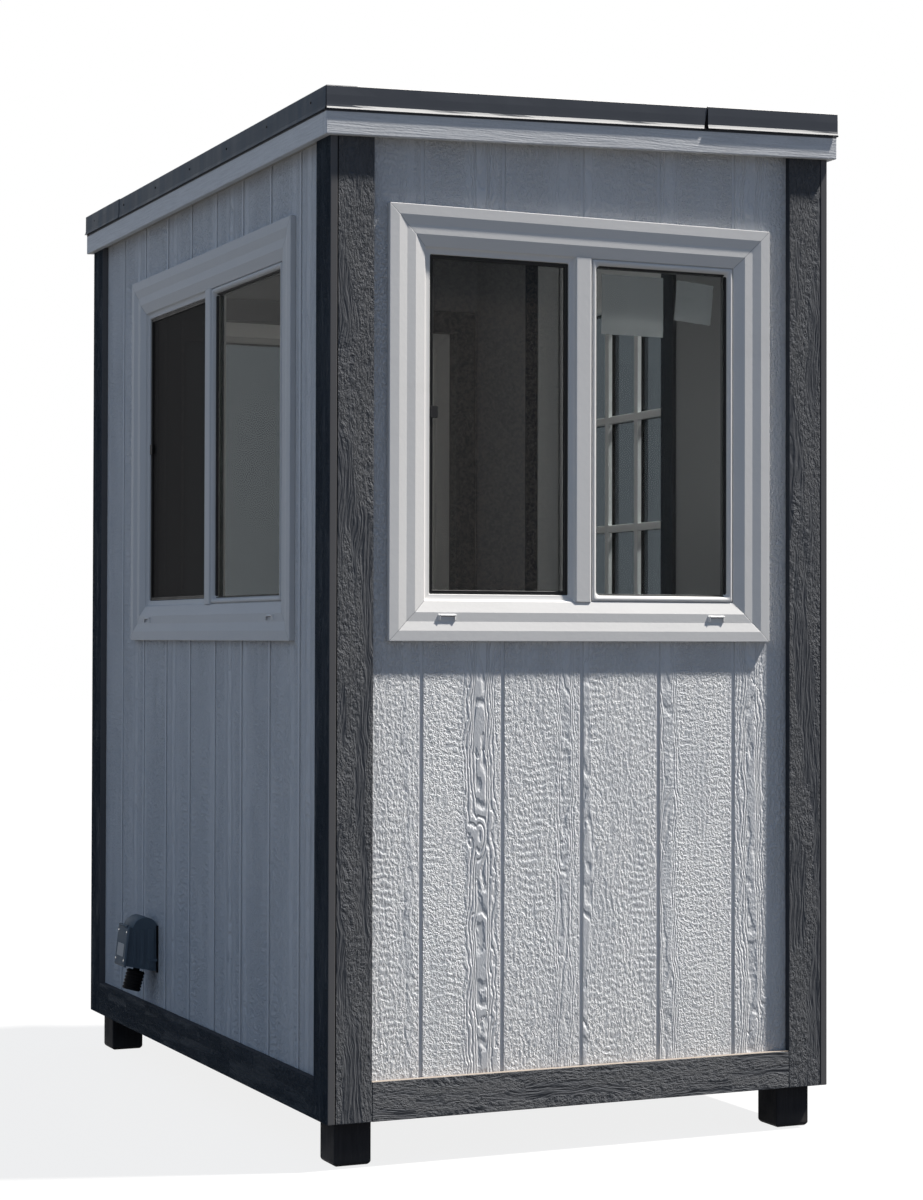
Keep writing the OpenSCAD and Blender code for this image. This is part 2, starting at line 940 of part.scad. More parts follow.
// the halves on the leaf: a plate with the middle knuckle
module hinge_door_leaves() {
  low = knuckle_h + knuckle_gap;
  color("#a9abad")
    at_hinges() {
      difference() {
        union() {
          translate([0, 0, low])
            cylinder(r = knuckle_r, h = knuckle_h);
          translate([0, 0, low])
            hinge_plate(-leaf_gap / 2, knuckle_h);
        }
        translate([0, 0, low - 1])
          cylinder(r = pin_r + pin_play, h = knuckle_h + 2);
      }
      block([-axis_out - plate_w, -leaf_gap / 2, 0], [-axis_out, plate_t - leaf_gap / 2, hinge_h]);
    }
}

// the tongue that joins a plate to its knuckle
module hinge_plate(y0, h) {
  block([-axis_out, y0, 0], [0, y0 + plate_t, h]);
}

// Power inlet

// the housing: a deep box with a round hood over its back
module inlet_box() {
  color("#55595e")
    union() {
      along_inlet()
        inlet_section();
      along_inlet()
        inlet_hood();
    }
}

// draws a side view along the inlet's width; x runs out from the siding and y up
module along_inlet() {
  translate([-hw, inlet_off - inlet_w / 2, 0])
    rotate([90, 0, 180])
      linear_extrude(inlet_w)
        children();
}

// the side view of the housing, with its underside falling towards the wall
module inlet_section() {
  top = inlet_z + inlet_h;
  polygon([[0, inlet_z], [inlet_reach, inlet_z + inlet_fall], [inlet_reach - inlet_lean, top], [0, top]]);
}

// the side view of the hood, cut off level with the siding
module inlet_hood() {
  translate([hood_r, inlet_z + inlet_h - hood_sink])
    circle(r = hood_r);
}

// the lid: a plate with a raised, tapered face, on the leaning face of the housing
module inlet_lid() {
  low = -lid_over;
  high = face_len + lid_over;
  half = inlet_w / 2 + lid_over;
  color("#8b8f93")
    translate([-hw - inlet_reach, inlet_off, inlet_z + inlet_fall])
      rotate([0, -atan(inlet_lean / face_h), 180])
        translate([seat, 0, 0])
          intersection() {
            translate([0, half, 0])
              rotate([90, 0, 0])
                linear_extrude(2 * half)
                  polygon([
                    [0, low], [lid_t / 2, low], [lid_t, low + lid_ease], [lid_t, high - 2 * lid_ease],
                    [lid_t / 2, high], [0, high]
                  ]);
            translate([0, 0, low])
              linear_extrude(high - low)
                polygon([
                  [0, -half], [lid_t / 2, -half], [lid_t, lid_ease - half], [lid_t, half - lid_ease],
                  [lid_t / 2, half], [0, half]
                ]);
          }
}

// places a piece on the socket's axis, which starts at the housing's underside and leans outwards
module on_socket_axis() {
  translate([-hw - socket_set, inlet_off, inlet_z + inlet_fall / 2])
    rotate([0, 180 + socket_lean, 0])
      children();
}

// the plug-in end: a ribbed sleeve with an open mouth, on a neck under the housing
module inlet_socket() {
  body_r = socket_r - rib_d;
  step = (socket_len - 2 * rib_t) / (rib_n - 1);
  color("#18191a")
    difference() {
      on_socket_axis() {
        translate([0, 0, -neck_l])
          cylinder(r = neck_r, h = 2 * neck_l + 1);
        translate([0, 0, neck_l]) {
          cylinder(r = body_r, h = socket_len);
          for (i = [0 : rib_n - 1])
            translate([0, 0, i * step + rib_t / 2])
              cylinder(r = socket_r, h = rib_t);
        }
      }
      on_socket_axis()
        translate([0, 0, neck_l + socket_len - mouth_d])
          cylinder(r = body_r - rib_t, h = mouth_d + 1);
      along_inlet()
        inlet_section();
    }
}

feet();
floor_frame();
floor_deck();
front_wall();
left_wall();
back_wall();
right_wall_front();
right_wall_back();
right_wall_header();
front_siding();
left_siding();
back_siding();
right_siding();
end_corner_trims();
side_corner_trims();
bottom_trims();
roof_deck();
end_fascias();
side_fascias();
end_flashings();
side_flashings();
roof_membrane();
front_window_frame();
front_window_sash();
front_window_glass();
left_window_frame();
left_window_sash();
left_window_glass();
back_window_frame();
back_window_sash();
back_window_glass();
window_screens();
window_casings();
door_frame();
door_casings();
door_threshold();
door_leaf();
door_lite_frame();
door_glass();
door_knobs();
hinge_frame_leaves();
hinge_door_leaves();
inlet_box();
inlet_lid();
inlet_socket();
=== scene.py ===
import math

import bmesh
import bpy
from mathutils import Euler, Matrix, Vector, noise


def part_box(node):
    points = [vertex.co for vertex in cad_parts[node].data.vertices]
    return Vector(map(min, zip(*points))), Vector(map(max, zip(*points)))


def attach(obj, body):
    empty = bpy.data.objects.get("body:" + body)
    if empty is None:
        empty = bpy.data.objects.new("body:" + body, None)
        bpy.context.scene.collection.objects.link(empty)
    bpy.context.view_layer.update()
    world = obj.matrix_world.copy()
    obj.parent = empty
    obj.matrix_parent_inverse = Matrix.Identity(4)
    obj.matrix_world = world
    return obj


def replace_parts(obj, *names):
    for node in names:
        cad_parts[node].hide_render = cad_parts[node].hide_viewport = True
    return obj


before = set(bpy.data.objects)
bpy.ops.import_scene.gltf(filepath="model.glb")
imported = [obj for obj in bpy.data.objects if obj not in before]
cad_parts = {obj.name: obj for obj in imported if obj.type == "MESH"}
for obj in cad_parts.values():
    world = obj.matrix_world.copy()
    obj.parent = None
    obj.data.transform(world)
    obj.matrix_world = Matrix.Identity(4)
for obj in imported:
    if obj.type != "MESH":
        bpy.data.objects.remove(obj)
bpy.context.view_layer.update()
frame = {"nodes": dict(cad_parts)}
nodes = frame["nodes"]

# Sizes in metres. Places come from the frame; these are the sizes that the frame doesn't state.
GROOVE_PITCH = 0.2032
FIRST_END_GROOVE = 0.2135
FIRST_SIDE_GROOVE = 0.211
KNOT_WIDE = 0.021
KNOT_HIGH = 0.062
SAW_ROW = 0.0175
SAW_COLUMN = 0.0150
MESH_PITCH = 0.0016
WIN_STEP = 0.024
WIN_FACE = 0.093
WIN_MID_PROUD = 0.009
RAIL_W = 0.015
BEAD_W = 0.016
MULLION_LEFT = -0.0205
MULLION_RIGHT = 0.0215
PANE_DEPTH = 0.014
SLIDE_DEPTH = 0.032
SCREEN_W = 0.009
SCREEN_DEPTH = 0.010
SCREEN_T = 0.008
SASH_BACK = 0.040
MULLION_PROUD = 0.004
FASCIA_SHOW = 0.055
HEM_SHADE = 0.0052
# parts of a length: half a groove's width to the pitch, and the roof's rise to its run
GROOVE_HALF = 0.0234
ROOF_SLOPE = 0.0368

front_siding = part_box("front_siding")
left_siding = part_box("left_siding")
back_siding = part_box("back_siding")
right_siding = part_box("right_siding")
edge_low, edge_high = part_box("end_fascias")


def roof_line(x):
    """Height of the flashing's lower edge at a given X."""
    return edge_low.z + FASCIA_SHOW + ROOF_SLOPE * (x - edge_low.x)


# Shader helpers

class Value:
    """A number, colour or place that nodes make; arithmetic with it adds Math nodes."""

    def __init__(self, nodes, socket):
        self.nodes = nodes
        self.socket = socket

    def __add__(self, other):
        return self.nodes.math("ADD", self, other)

    def __radd__(self, other):
        return self.nodes.math("ADD", other, self)

    def __sub__(self, other):
        return self.nodes.math("SUBTRACT", self, other)

    def __rsub__(self, other):
        return self.nodes.math("SUBTRACT", other, self)

    def __mul__(self, other):
        return self.nodes.math("MULTIPLY", self, other)

    def __truediv__(self, other):
        return self.nodes.math("DIVIDE", self, other)

    def __abs__(self):
        return self.nodes.math("ABSOLUTE", self)

    def step(self, low, high, out_low=0.0, out_high=1.0):
        """A smooth step of the value from low to high."""
        made = self.nodes.node("MapRange", interpolation_type="SMOOTHSTEP")
        for socket, given in zip(made.inputs, (self, low, high, out_low, out_high)):
            self.nodes.put(given, socket)
        return Value(self.nodes, made.outputs[0])

    def mix(self, a, b):
        """Colour a where the value is 0, and colour b where it is 1."""
        made = self.nodes.node("Mix", data_type="RGBA", clamp_factor=True)
        self.nodes.put(self, made.inputs[0])
        for value, socket in ((a, made.inputs[6]), (b, made.inputs[7])):
            if isinstance(value, tuple):
                value = (*value, 1.0)
            self.nodes.put(value, socket)
        return Value(self.nodes, made.outputs[2])

    def noise(self, scale=1.0, detail=2.0, roughness=0.5):
        """Noise over a place; a scale of three numbers stretches it along the axes."""
        place = self
        if isinstance(scale, tuple):
            place = self.nodes.scaled(self, scale)
            scale = 1.0
        made = self.nodes.node("TexNoise")
        self.nodes.put(place, made.inputs["Vector"])
        made.inputs["Scale"].default_value = scale
        made.inputs["Detail"].default_value = detail
        made.inputs["Roughness"].default_value = roughness
        return Value(self.nodes, made.outputs[0])


class Nodes:
    """Short calls that add nodes to a tree."""

    def __init__(self, tree):
        self.tree = tree

    def put(self, value, socket):
        if isinstance(value, Value):
            value = value.socket
        if isinstance(value, bpy.types.NodeSocket):
            self.tree.links.new(value, socket)
        else:
            socket.default_value = value

    def node(self, kind, **settings):
        made = self.tree.nodes.new("ShaderNode" + kind)
        for name, value in settings.items():
            setattr(made, name, value)
        return made

    def place(self):
        """The object's own coordinates, which are the row frame at rest."""
        return Value(self, self.node("TexCoord").outputs["Object"])

    def normal(self):
        """The surface normal along X, Y and Z."""
        return self.split(self.node("TexCoord").outputs["Normal"])

    def split(self, vector):
        made = self.node("SeparateXYZ")
        self.put(vector, made.inputs[0])
        return [Value(self, output) for output in made.outputs]

    def join(self, x=0.0, y=0.0, z=0.0):
        made = self.node("CombineXYZ")
        for value, socket in zip((x, y, z), made.inputs):
            self.put(value, socket)
        return Value(self, made.outputs[0])

    def math(self, operation, *values):
        made = self.node("Math", operation=operation)
        for value, socket in zip(values, made.inputs):
            self.put(value, socket)
        return Value(self, made.outputs[0])

    def scaled(self, vector, scale):
        made = self.node("VectorMath", operation="MULTIPLY")
        self.put(vector, made.inputs[0])
        made.inputs[1].default_value = scale
        return Value(self, made.outputs[0])

    def chance(self, value):
        """Three random numbers that stay the same for the same value."""
        made = self.node("TexWhiteNoise", noise_dimensions="1D")
        self.put(value, made.inputs["W"])
        return self.split(made.outputs["Color"])

    def pick(self, value, choices):
        """One of a few numbers, chosen by a whole value from 0 up."""
        made = self.node("ValToRGB")
        made.color_ramp.interpolation = "CONSTANT"
        while len(made.color_ramp.elements) < len(choices):
            made.color_ramp.elements.new(1.0)
        for i, choice in enumerate(choices):
            made.color_ramp.elements[i].position = i / len(choices)
            made.color_ramp.elements[i].color = (choice, choice, choice, 1.0)
        self.put((value + 0.5) / float(len(choices)), made.inputs[0])
        return self.split(made.outputs[0])[0]

    def bump(self, height, depth, strength):
        made = self.node("Bump")
        made.inputs["Strength"].default_value = strength
        made.inputs["Distance"].default_value = depth
        self.put(height, made.inputs["Height"])
        return Value(self, made.outputs[0])

    def seen(self):
        """1 for what the camera sees straight, mirrored or through glass."""
        path = self.node("LightPath")
        seen = path.outputs["Is Camera Ray"]
        for name in ("Is Glossy Ray", "Is Transmission Ray"):
            seen = self.math("MAXIMUM", seen, path.outputs[name])
        return seen


class Shader(Nodes):
    """A procedural material with one Principled surface."""

    def __init__(self, name, **sockets):
        self.material = bpy.data.materials.new(name)
        self.material.use_nodes = True
        # low sunlight reaches the whole of a raised grain, not just its foot
        self.material.cycles.use_bump_map_correction = False
        super().__init__(self.material.node_tree)
        self.surface = self.tree.nodes["Principled BSDF"]
        self.output = self.tree.nodes["Material Output"]
        self.set(**sockets)

    def set(self, **sockets):
        for name, value in sockets.items():
            self.put(value, self.surface.inputs[name.replace("_", " ")])

    def finish(self, paint, roughness, height, depth, strength):
        """Sets the colour, roughness and relief of the surface, and returns the material."""
        self.set(Base_Color=paint, Roughness=roughness, Normal=self.bump(height, depth, strength))
        return self.material


# Materials

def sawn_boards(name, axis, first_groove, seed, hearts, knots, depth):
    """Painted panel siding pressed with a rough-sawn wood figure, another one on each board."""
    shader = Shader(name, Specular_IOR_Level=0.06)
    place = shader.split(shader.place())
    across, third = (place[0], place[1]) if axis == "x" else (place[1], place[0])
    along = place[2]
    board_place = (across - (first_groove - GROOVE_PITCH)) / GROOVE_PITCH
    board = shader.math("FLOOR", board_place)
    part = shader.math("FRACT", board_place)
    own = shader.math("MULTIPLY_ADD", board, 3.17, shader.math("MULTIPLY_ADD", third, 4.0, seed))
    tone, stretch, _ = shader.chance(own)
    centre = shader.pick(board, [heart[0] for heart in hearts])
    width = shader.pick(board, [heart[1] for heart in hearts])
    clear = shader.pick(board, [heart[2] for heart in hearts])
    spot = shader.join(across, along, own)

    # how far a point lies from the board's heart line, which wanders and goes round a knot
    wander = spot.noise((1.0, 2.2, 1.0))
    off = (wander - 0.5) * 0.22 + part
    off = abs(off - centre)
    swell = 0.0
    for knot_across, knot_along in knots:
        wide = (across - knot_across) / KNOT_WIDE
        high = (along - knot_along) / KNOT_HIGH
        square = wide * wide + high * high
        swell = swell + shader.math("POWER", math.e, square * -1.0)
    reach = (swell * -0.10 + off) / width
    heart = reach.step(0.5, 1.2, 1.0, 0.0) * clear
    plain = 1.0 - heart

    # nested wavy ridges round a smooth heart that is cracked across here and there
    figure = spot.noise((11.0, 4.4, 1.0))
    ragged = spot.noise((42.0, 20.0, 1.0), detail=3.0, roughness=0.62)
    bands = shader.math("MAXIMUM", off, 0.06) * 21.0 + figure * 8.0
    bands = swell * 3.4 + bands
    bands = ragged * off.step(0.05, 0.12, 0.9, 2.4) + bands
    band = shader.math("FRACT", bands)
    rise = band.step(0.0, 0.28)
    fall = band.step(0.62, 0.9, 1.0, 0.0)
    ridges = rise * fall
    jag = spot.noise((34.0, 7.0, 1.0), detail=3.0)
    rung = along * 7.0 + (jag * 1.5 + own)
    kept = shader.chance(shader.math("FLOOR", rung))[0].step(0.5, 0.55)
    crack = abs(shader.math("FRACT", rung) - 0.5)
    crack = crack.step(0.010, 0.040, 0.7, 0.0) * kept
    crack = crack * off.step(0.07, 0.12, 1.0, 0.0)
    ridges = ridges - crack

    # blobs left by the saw over the rest: in rows on some places, in upright columns on others
    tall = along * (stretch * 72.0 + 78.0)
    blob = shader.join(across * 172.0, tall, own).noise(detail=4.0, roughness=0.6)
    sway = spot.noise((16.0, 9.0, 1.0))
    turn = sway * 16.0
    row = shader.math("SINE", along * (2 * math.pi / SAW_ROW) + turn)
    column = shader.math("SINE", across * (2 * math.pi / SAW_COLUMN) + turn)
    where = spot.noise((15.0, 2.6, 1.0), detail=1.0)
    in_rows = where.step(0.48, 0.64, 0.0, 0.065)
    in_columns = where.step(0.36, 0.54, 0.06, 0.03)
    sawn = row * in_rows + blob
    sawn = column * in_columns + sawn
    sawn = sawn.step(0.38, 0.62)
    worn = spot.noise((22.0, 3.0, 1.0))
    sawn = sawn * worn.step(0.3, 0.6, 0.55, 1.05)

    fine = spot.noise((320.0, 120.0, 1.0))
    high = heart * ridges
    high = plain * sawn + high
    high = fine * 0.24 + high
    groove = abs(part - 0.5)
    groove = groove.step(0.5 - 1.3 * GROOVE_HALF, 0.5 - 0.9 * GROOVE_HALF)
    high = high * (1.0 - groove)

    # light grey paint, with painted shade that darkens the low places and painted light that brightens the
    # grooves, and a little dust near the ground
    soft = spot.noise((3.0, 0.8, 1.0), detail=3.0)
    paint = soft.mix((0.60, 0.605, 0.615), (0.66, 0.665, 0.67))
    paint = (tone * 0.2).mix(paint, (0.56, 0.565, 0.58))
    # painted shade: the low places of the relief are darker
    paint = high.step(0.05, 0.6, 0.12, 0.0).mix(paint, (0.36, 0.37, 0.38))
    # painted light: the grooves are lighter, against their own shade
    paint = (groove * 0.3).mix(paint, (0.80, 0.805, 0.81))
    dust = along.step(0.22, 0.5, 0.2, 0.0) * soft
    paint = dust.mix(paint, (0.50, 0.475, 0.44))
    return shader.finish(paint, blob.step(0.2, 0.8, 0.6, 0.78), high, depth, 1.0)


def trim_board(name, upright, face_axes, seed, edge_paint_and_shade, seam=None, pale_top=None):
    """Charcoal trim board: sawn grain on its broad faces, smooth edges in a colour of their own, which is a
    brown-grey paint on the side trims and a darker painted shade on the others.
    """
    shader = Shader(name, Specular_IOR_Level=0.02)
    place = shader.split(shader.place())
    length = place[0] + place[1]
    across, along = (length, place[2]) if upright else (place[2], length)
    facing = [abs(part) for part in shader.normal()]
    face = facing[face_axes[0]]
    for axis in face_axes[1:]:
        face = shader.math("MAXIMUM", face, facing[axis])
    face = face.step(0.6, 0.85)
    side = place[0] * 3.3 + place[1] * 5.1
    own = shader.math("ADD", shader.math("SNAP", side, 0.9), seed)
    spot = shader.join(across, along, own)

    # upright strokes of the saw that lean one way and another, deep on some places and shallow on others
    bend = spot.noise((14.0, 5.0, 1.0))
    bent = bend * 0.06 + across
    flowing = shader.join(bent, along, seed)
    streak = flowing.noise((170.0, 11.0, 1.0), roughness=0.6)
    stroke = flowing.noise((150.0, 56.0, 1.0), detail=3.5, roughness=0.66)
    where = spot.noise((26.0, 3.0, 1.0), detail=1.5)
    fine = where.step(0.47, 0.62, 0.12, 0.85)
    ridge = (streak - stroke) * fine + stroke
    ridge = ridge.step(0.36, 0.62) * where.step(0.45, 0.65, 1.0, 0.5)
    split = abs(streak - 0.62)
    split = split.step(0.0, 0.02, 1.0, 0.0) * where.step(0.36, 0.44, 1.0, 0.0)
    ridge = split * -0.8 + ridge
    ridge = ridge * face

    soft = spot.noise((5.0, 2.0, 1.0), detail=3.0)
    paint = soft.mix((0.067, 0.070, 0.077), (0.089, 0.092, 0.099))
    # painted highlight: the raised grain is lighter
    paint = (ridge * 0.5).mix(paint, (0.134, 0.135, 0.138))
    # painted shade: faces towards the long sides are darker and bluer
    paint = facing[0].step(0.6, 0.85, 0.0, 0.8).mix(paint, (0.022, 0.032, 0.044))
    # the edges take their own colour: a brown-grey paint on the side trims, a darker painted shade on the
    # other boards
    edge = face.step(0.0, 1.0, 1.0, 0.0)
    paint = (edge * 0.85).mix(paint, edge_paint_and_shade)
    if pale_top is not None:
        # the top edge of the boards on the ends is a pale beige
        top = shader.normal()[2].step(0.7, 0.9)
        beyond = abs(place[1]).step(pale_top - 0.001, pale_top + 0.001)
        paint = (top * beyond).mix(paint, (0.30, 0.26, 0.225))
    if seam is not None:
        # a dark line where two boards meet at a corner
        gap = abs(place[0]).step(seam - 0.0026, seam - 0.0014)
        paint = gap.mix(paint, (0.006, 0.006, 0.007))
    return shader.finish(paint, stroke.step(0.2, 0.8, 0.55, 0.78), ridge, 0.0046, 1.0)


def fascia_board(name):
    """Light grey fascia with rough-sawn grain along its length."""
    shader = Shader(name, Specular_IOR_Level=0.15)
    place = shader.split(shader.place())
    along = place[0] + place[1]
    spot = shader.join(place[2], along, place[1])
    bend = spot.noise((6.0, 2.0, 0.3), detail=1.0)
    flowing = shader.join(bend * 0.03 + place[2], along, 2.0)
    streak = flowing.noise((240.0, 9.0, 1.0), roughness=0.6)
    fleck = flowing.noise((260.0, 110.0, 1.0))
    high = fleck * 0.4 + streak * 0.8
    soft = spot.noise((4.0, 1.2, 0.5), detail=3.0)
    paint = soft.mix((0.56, 0.57, 0.585), (0.68, 0.685, 0.69))
    # painted shade: darker where the grain is low
    paint = high.step(0.4, 0.75, 0.3, 0.0).mix(paint, (0.33, 0.335, 0.345))
    # the joint under the flashing's hem lies in deep shade
    level = place[0] * -ROOF_SLOPE + place[2]
    foot = roof_line(0.0) - HEM_SHADE
    joint = level.step(foot, foot + 0.0018)
    paint = joint.mix(paint, (0.045, 0.048, 0.055))
    return shader.finish(paint, fleck.step(0.2, 0.8, 0.52, 0.7), high, 0.0014, 0.8)


def fine_finish(name, low, high, soft_scale, grain, gloss, relief, **sockets):
    """A surface that drifts between two tones, with one fine grain in its gloss and its relief."""
    shader = Shader(name, **sockets)
    place = shader.place()
    soft = place.noise(soft_scale, 3.0)
    fine = place.noise(*grain)
    return shader.finish(soft.mix(low, high), fine.step(*gloss), fine, *relief)


def painted(name, low, high, roughness, grain=260.0, depth=0.0003, specular=0.4):
    """Smooth factory paint with a slight orange peel and soft changes of tone."""
    gloss = (0.25, 0.75, roughness - 0.06, roughness + 0.08)
    return fine_finish(name, low, high, 2.3, (grain, 2.0), gloss, (depth, 0.5), Specular_IOR_Level=specular)


def window_vinyl(name, axis, window, low_paint, high_paint):
    """White extruded vinyl with a fine welded mitre line at each corner of the frame."""
    shader = Shader(name, Specular_IOR_Level=0.03)
    place = shader.place()
    parts = shader.split(place)
    sides = []
    for k in (axis, 2):
        low, high = window[0][k], window[1][k]
        sides.append((high - low) / 2 - abs(parts[k] - (low + high) / 2))
    apart = abs(sides[0] - sides[1])
    near = shader.math("MINIMUM", *sides).step(WIN_FACE - 0.002, WIN_FACE, 1.0, 0.0)
    weld = apart.step(0.0006, 0.0014, 1.0, 0.0) * near
    soft = place.noise(5.0, 3.0)
    peel = place.noise(90.0, 2.0)
    paint = soft.mix(low_paint, high_paint)
    grime = place.noise((3.0, 3.0, 14.0), 4.0).step(0.52, 0.8, 0.0, 0.16)
    paint = grime.mix(paint, (0.55, 0.54, 0.51))
    paint = (weld * 0.65).mix(paint, (0.30, 0.30, 0.30))
    return shader.finish(paint, peel.step(0.2, 0.8, 0.3, 0.42), weld * -2.0 + peel, 0.0004, 0.5)


def sheet_glass(name, tint, ior, specular, passes=None):
    """Tinted glass with faint dust in streaks; passes is the tint that it gives to lamplight, if another."""
    shader = Shader(name, Transmission_Weight=1.0, IOR=ior, Specular_IOR_Level=specular)
    place = shader.place()
    streak = place.noise((6.0, 6.0, 1.8), 4.0)
    dark = tuple(part * 0.94 for part in tint)
    wave = place.noise(2.2, 1.0)
    shader.set(
        Base_Color=streak.mix(dark, tint),
        Roughness=streak.step(0.5, 0.9, 0.0, 0.05),
        Normal=shader.bump(wave, 0.0012, 0.25),
    )
    clear = shader.node("BsdfTransparent")
    clear.inputs[0].default_value = (*(passes or tint), 1.0)
    path = shader.node("LightPath")
    mixed = shader.node("MixShader")
    shader.put(path.outputs["Is Shadow Ray"], mixed.inputs[0])
    shader.put(shader.surface.outputs[0], mixed.inputs[1])
    shader.put(clear.outputs[0], mixed.inputs[2])
    shader.put(mixed.outputs[0], shader.output.inputs[0])
    return shader.material


def insect_mesh(name, thread, low, high):
    """Fly screen woven of threads, with open squares; thread is half a thread's width to the pitch."""
    shader = Shader(name, Specular_IOR_Level=0.02)
    place = shader.split(shader.place())
    threads = []
    for value in (place[0] + place[1], place[2]):
        wave = shader.math("PINGPONG", value, MESH_PITCH / 2)
        threads.append(wave.step(MESH_PITCH * (thread - 0.04), MESH_PITCH * thread, 1.0, 0.0))
    cover = shader.math("MAXIMUM", *threads)
    dust = shader.place().noise(170.0, 3.0)
    shader.set(
        Base_Color=dust.step(0.36, 0.64).mix(low, high),
        Roughness=dust.step(0.2, 0.8, 0.5, 0.65),
        Alpha=cover,
    )
    return shader.material


def sheet_metal(name, low, high, unshaded_grey, roughness):
    """Prefinished sheet metal with soft dents, a fine speckle and weather streaks."""
    shader = Shader(name, Specular_IOR_Level=0.04)
    place = shader.place()
    facing = [abs(part) for part in shader.normal()]
    dents = place.noise(7.0, 2.0)
    speckle = place.noise(420.0, 1.0)
    runs = place.noise((24.0, 24.0, 1.6), 3.0)
    # the low and high colours, kept on the long sides, are a bluer painted shade of sky light
    paint = dents.mix(low, high)
    pale = tuple(part * 1.5 for part in high)
    paint = runs.step(0.5, 0.8, 0.0, 0.35).mix(paint, pale)
    # the long sides keep a bluer painted shade of sky light, the ends and the top a plain grey, and the ends'
    # hem has a pale painted highlight at the bend
    worn = shader.math("MAXIMUM", facing[1], facing[2])
    paint = worn.step(0.6, 0.85, 0.0, 0.85).mix(paint, unshaded_grey)
    # painted highlight: a pale line along the bend of the ends' hem
    hem_highlight = facing[2].step(0.14, 0.24) * facing[1].step(0.3, 0.5)
    paint = hem_highlight.mix(paint, (0.64, 0.625, 0.60))
    return shader.finish(
        paint,
        runs.step(0.25, 0.75, roughness - 0.06, roughness + 0.1),
        speckle * 0.02 + dents, 0.004, 0.35,
    )


def roof_rubber(name):
    """Dark roofing rubber with pale dust in clouds."""
    shader = Shader(name, Specular_IOR_Level=0.3)
    place = shader.place()
    cloud = place.noise((1.6, 4.4, 2.0), 5.0, 0.6)
    grit = place.noise(240.0, 2.0)
    paint = cloud.mix((0.045, 0.046, 0.048), (0.085, 0.085, 0.084))
    paint = cloud.step(0.5, 0.75, 0.0, 0.5).mix(paint, (0.17, 0.165, 0.155))
    return shader.finish(paint, grit.step(0.2, 0.8, 0.6, 0.8), grit, 0.0008, 0.6)


def post_timber(name):
    """Black-stained timber posts: checks and grain along the post, scuffed near the ground."""
    shader = Shader(name, Specular_IOR_Level=0.04)
    place = shader.place()
    parts = shader.split(place)
    grain = place.noise((150.0, 150.0, 7.0), 3.0, 0.6)
    soft = place.noise(12.0, 3.0)
    paint = grain.mix((0.012, 0.012, 0.015), (0.038, 0.038, 0.041))
    low = parts[2].step(0.0, 0.05, 0.6, 0.0) * soft
    paint = low.mix(paint, (0.11, 0.10, 0.09))
    return shader.finish(paint, soft.step(0.25, 0.75, 0.55, 0.75), grain, 0.001, 0.7)


def plank_floor(name):
    """Grey floor sheet with a fleck pattern and worn places."""
    shader = Shader(name, Specular_IOR_Level=0.4)
    place = shader.place()
    fleck = place.noise(120.0, 2.0, 0.7)
    worn = place.noise(1.7, 3.0)
    paint = fleck.step(0.35, 0.65).mix((0.10, 0.10, 0.10), (0.19, 0.185, 0.18))
    paint = worn.step(0.45, 0.75, 0.0, 0.4).mix(paint, (0.26, 0.25, 0.235))
    return shader.finish(paint, worn.step(0.3, 0.7, 0.55, 0.35), fleck, 0.0003, 0.5)


def wall_board(name):
    """Sheathing and lining of the walls: grey paint over a lightly textured board."""
    low, high = (0.19, 0.193, 0.20), (0.25, 0.253, 0.26)
    stipple = (180.0, 3.0, 0.6)
    gloss = (0.25, 0.75, 0.55, 0.7)
    return fine_finish(name, low, high, 1.4, stipple, gloss, (0.0005, 0.5), Specular_IOR_Level=0.35)


def moulded(name, low, high, roughness, depth=0.0004, specular=0.12):
    """Moulded plastic or rubber with a fine leather texture and pale scuffs."""
    shader = Shader(name, Specular_IOR_Level=specular)
    place = shader.place()
    cells = place.noise(520.0, 1.0)
    soft = place.noise(16.0, 3.0)
    scuff = place.noise((60.0, 60.0, 9.0), 4.0, 0.7).step(0.6, 0.8)
    paint = soft.mix(low, high)
    pale = tuple(part * 1.5 + 0.02 for part in high)
    paint = (scuff * 0.35).mix(paint, pale)
    return shader.finish(
        paint,
        soft.step(0.25, 0.75, roughness - 0.05, roughness + 0.1),
        cells, depth, 0.5,
    )


def brushed_metal(name, low, high, roughness, brush):
    """Bare metal with brush marks and soft changes of tone."""
    gloss = (0.3, 0.7, roughness - 0.08, roughness + 0.1)
    return fine_finish(name, low, high, 18.0, (brush, 2.0), gloss, (0.0002, 0.5), Metallic=1.0)


def paper(name, low, high):
    """Plain paper or card, a little uneven in tone."""
    gloss = (0.2, 0.8, 0.75, 0.9)
    return fine_finish(name, low, high, 9.0, (300.0, 3.0), gloss, (0.0003, 0.4), Specular_IOR_Level=0.2)


end_groove = front_siding[0].x + FIRST_END_GROOVE
side_groove = left_siding[0].y + FIRST_SIDE_GROOVE
# each board's heart: its place across the board and the half width of its figure, as parts of the board,
# and how clear the figure is
END_HEARTS = (
    (0.85, 0.05, 0.5), (0.73, 0.24, 1.0), (0.78, 0.15, 0.6), (0.05, 0.08, 0.8), (0.12, 0.17, 0.7),
    (0.24, 0.24, 0.8), (0.5, 0.2, 0.6),
)
SIDE_HEARTS = (
    (0.7, 0.2, 0.8), (0.2, 0.1, 0.6), (0.85, 0.15, 0.7), (0.4, 0.22, 1.0), (0.1, 0.12, 0.6),
    (0.65, 0.25, 0.9), (0.9, 0.1, 0.6), (0.3, 0.18, 0.8), (0.75, 0.12, 0.6), (0.5, 0.2, 0.7),
)
END_KNOTS = ((-0.270, 0.724),)
SIDE_KNOTS = ((0.31, 0.86), (-0.52, 1.02))
end_boards = sawn_boards("siding_ends", "x", end_groove, 11.0, END_HEARTS, END_KNOTS, 0.0029)
left_boards = sawn_boards("siding_left", "y", side_groove, 47.0, SIDE_HEARTS, SIDE_KNOTS, 0.0023)
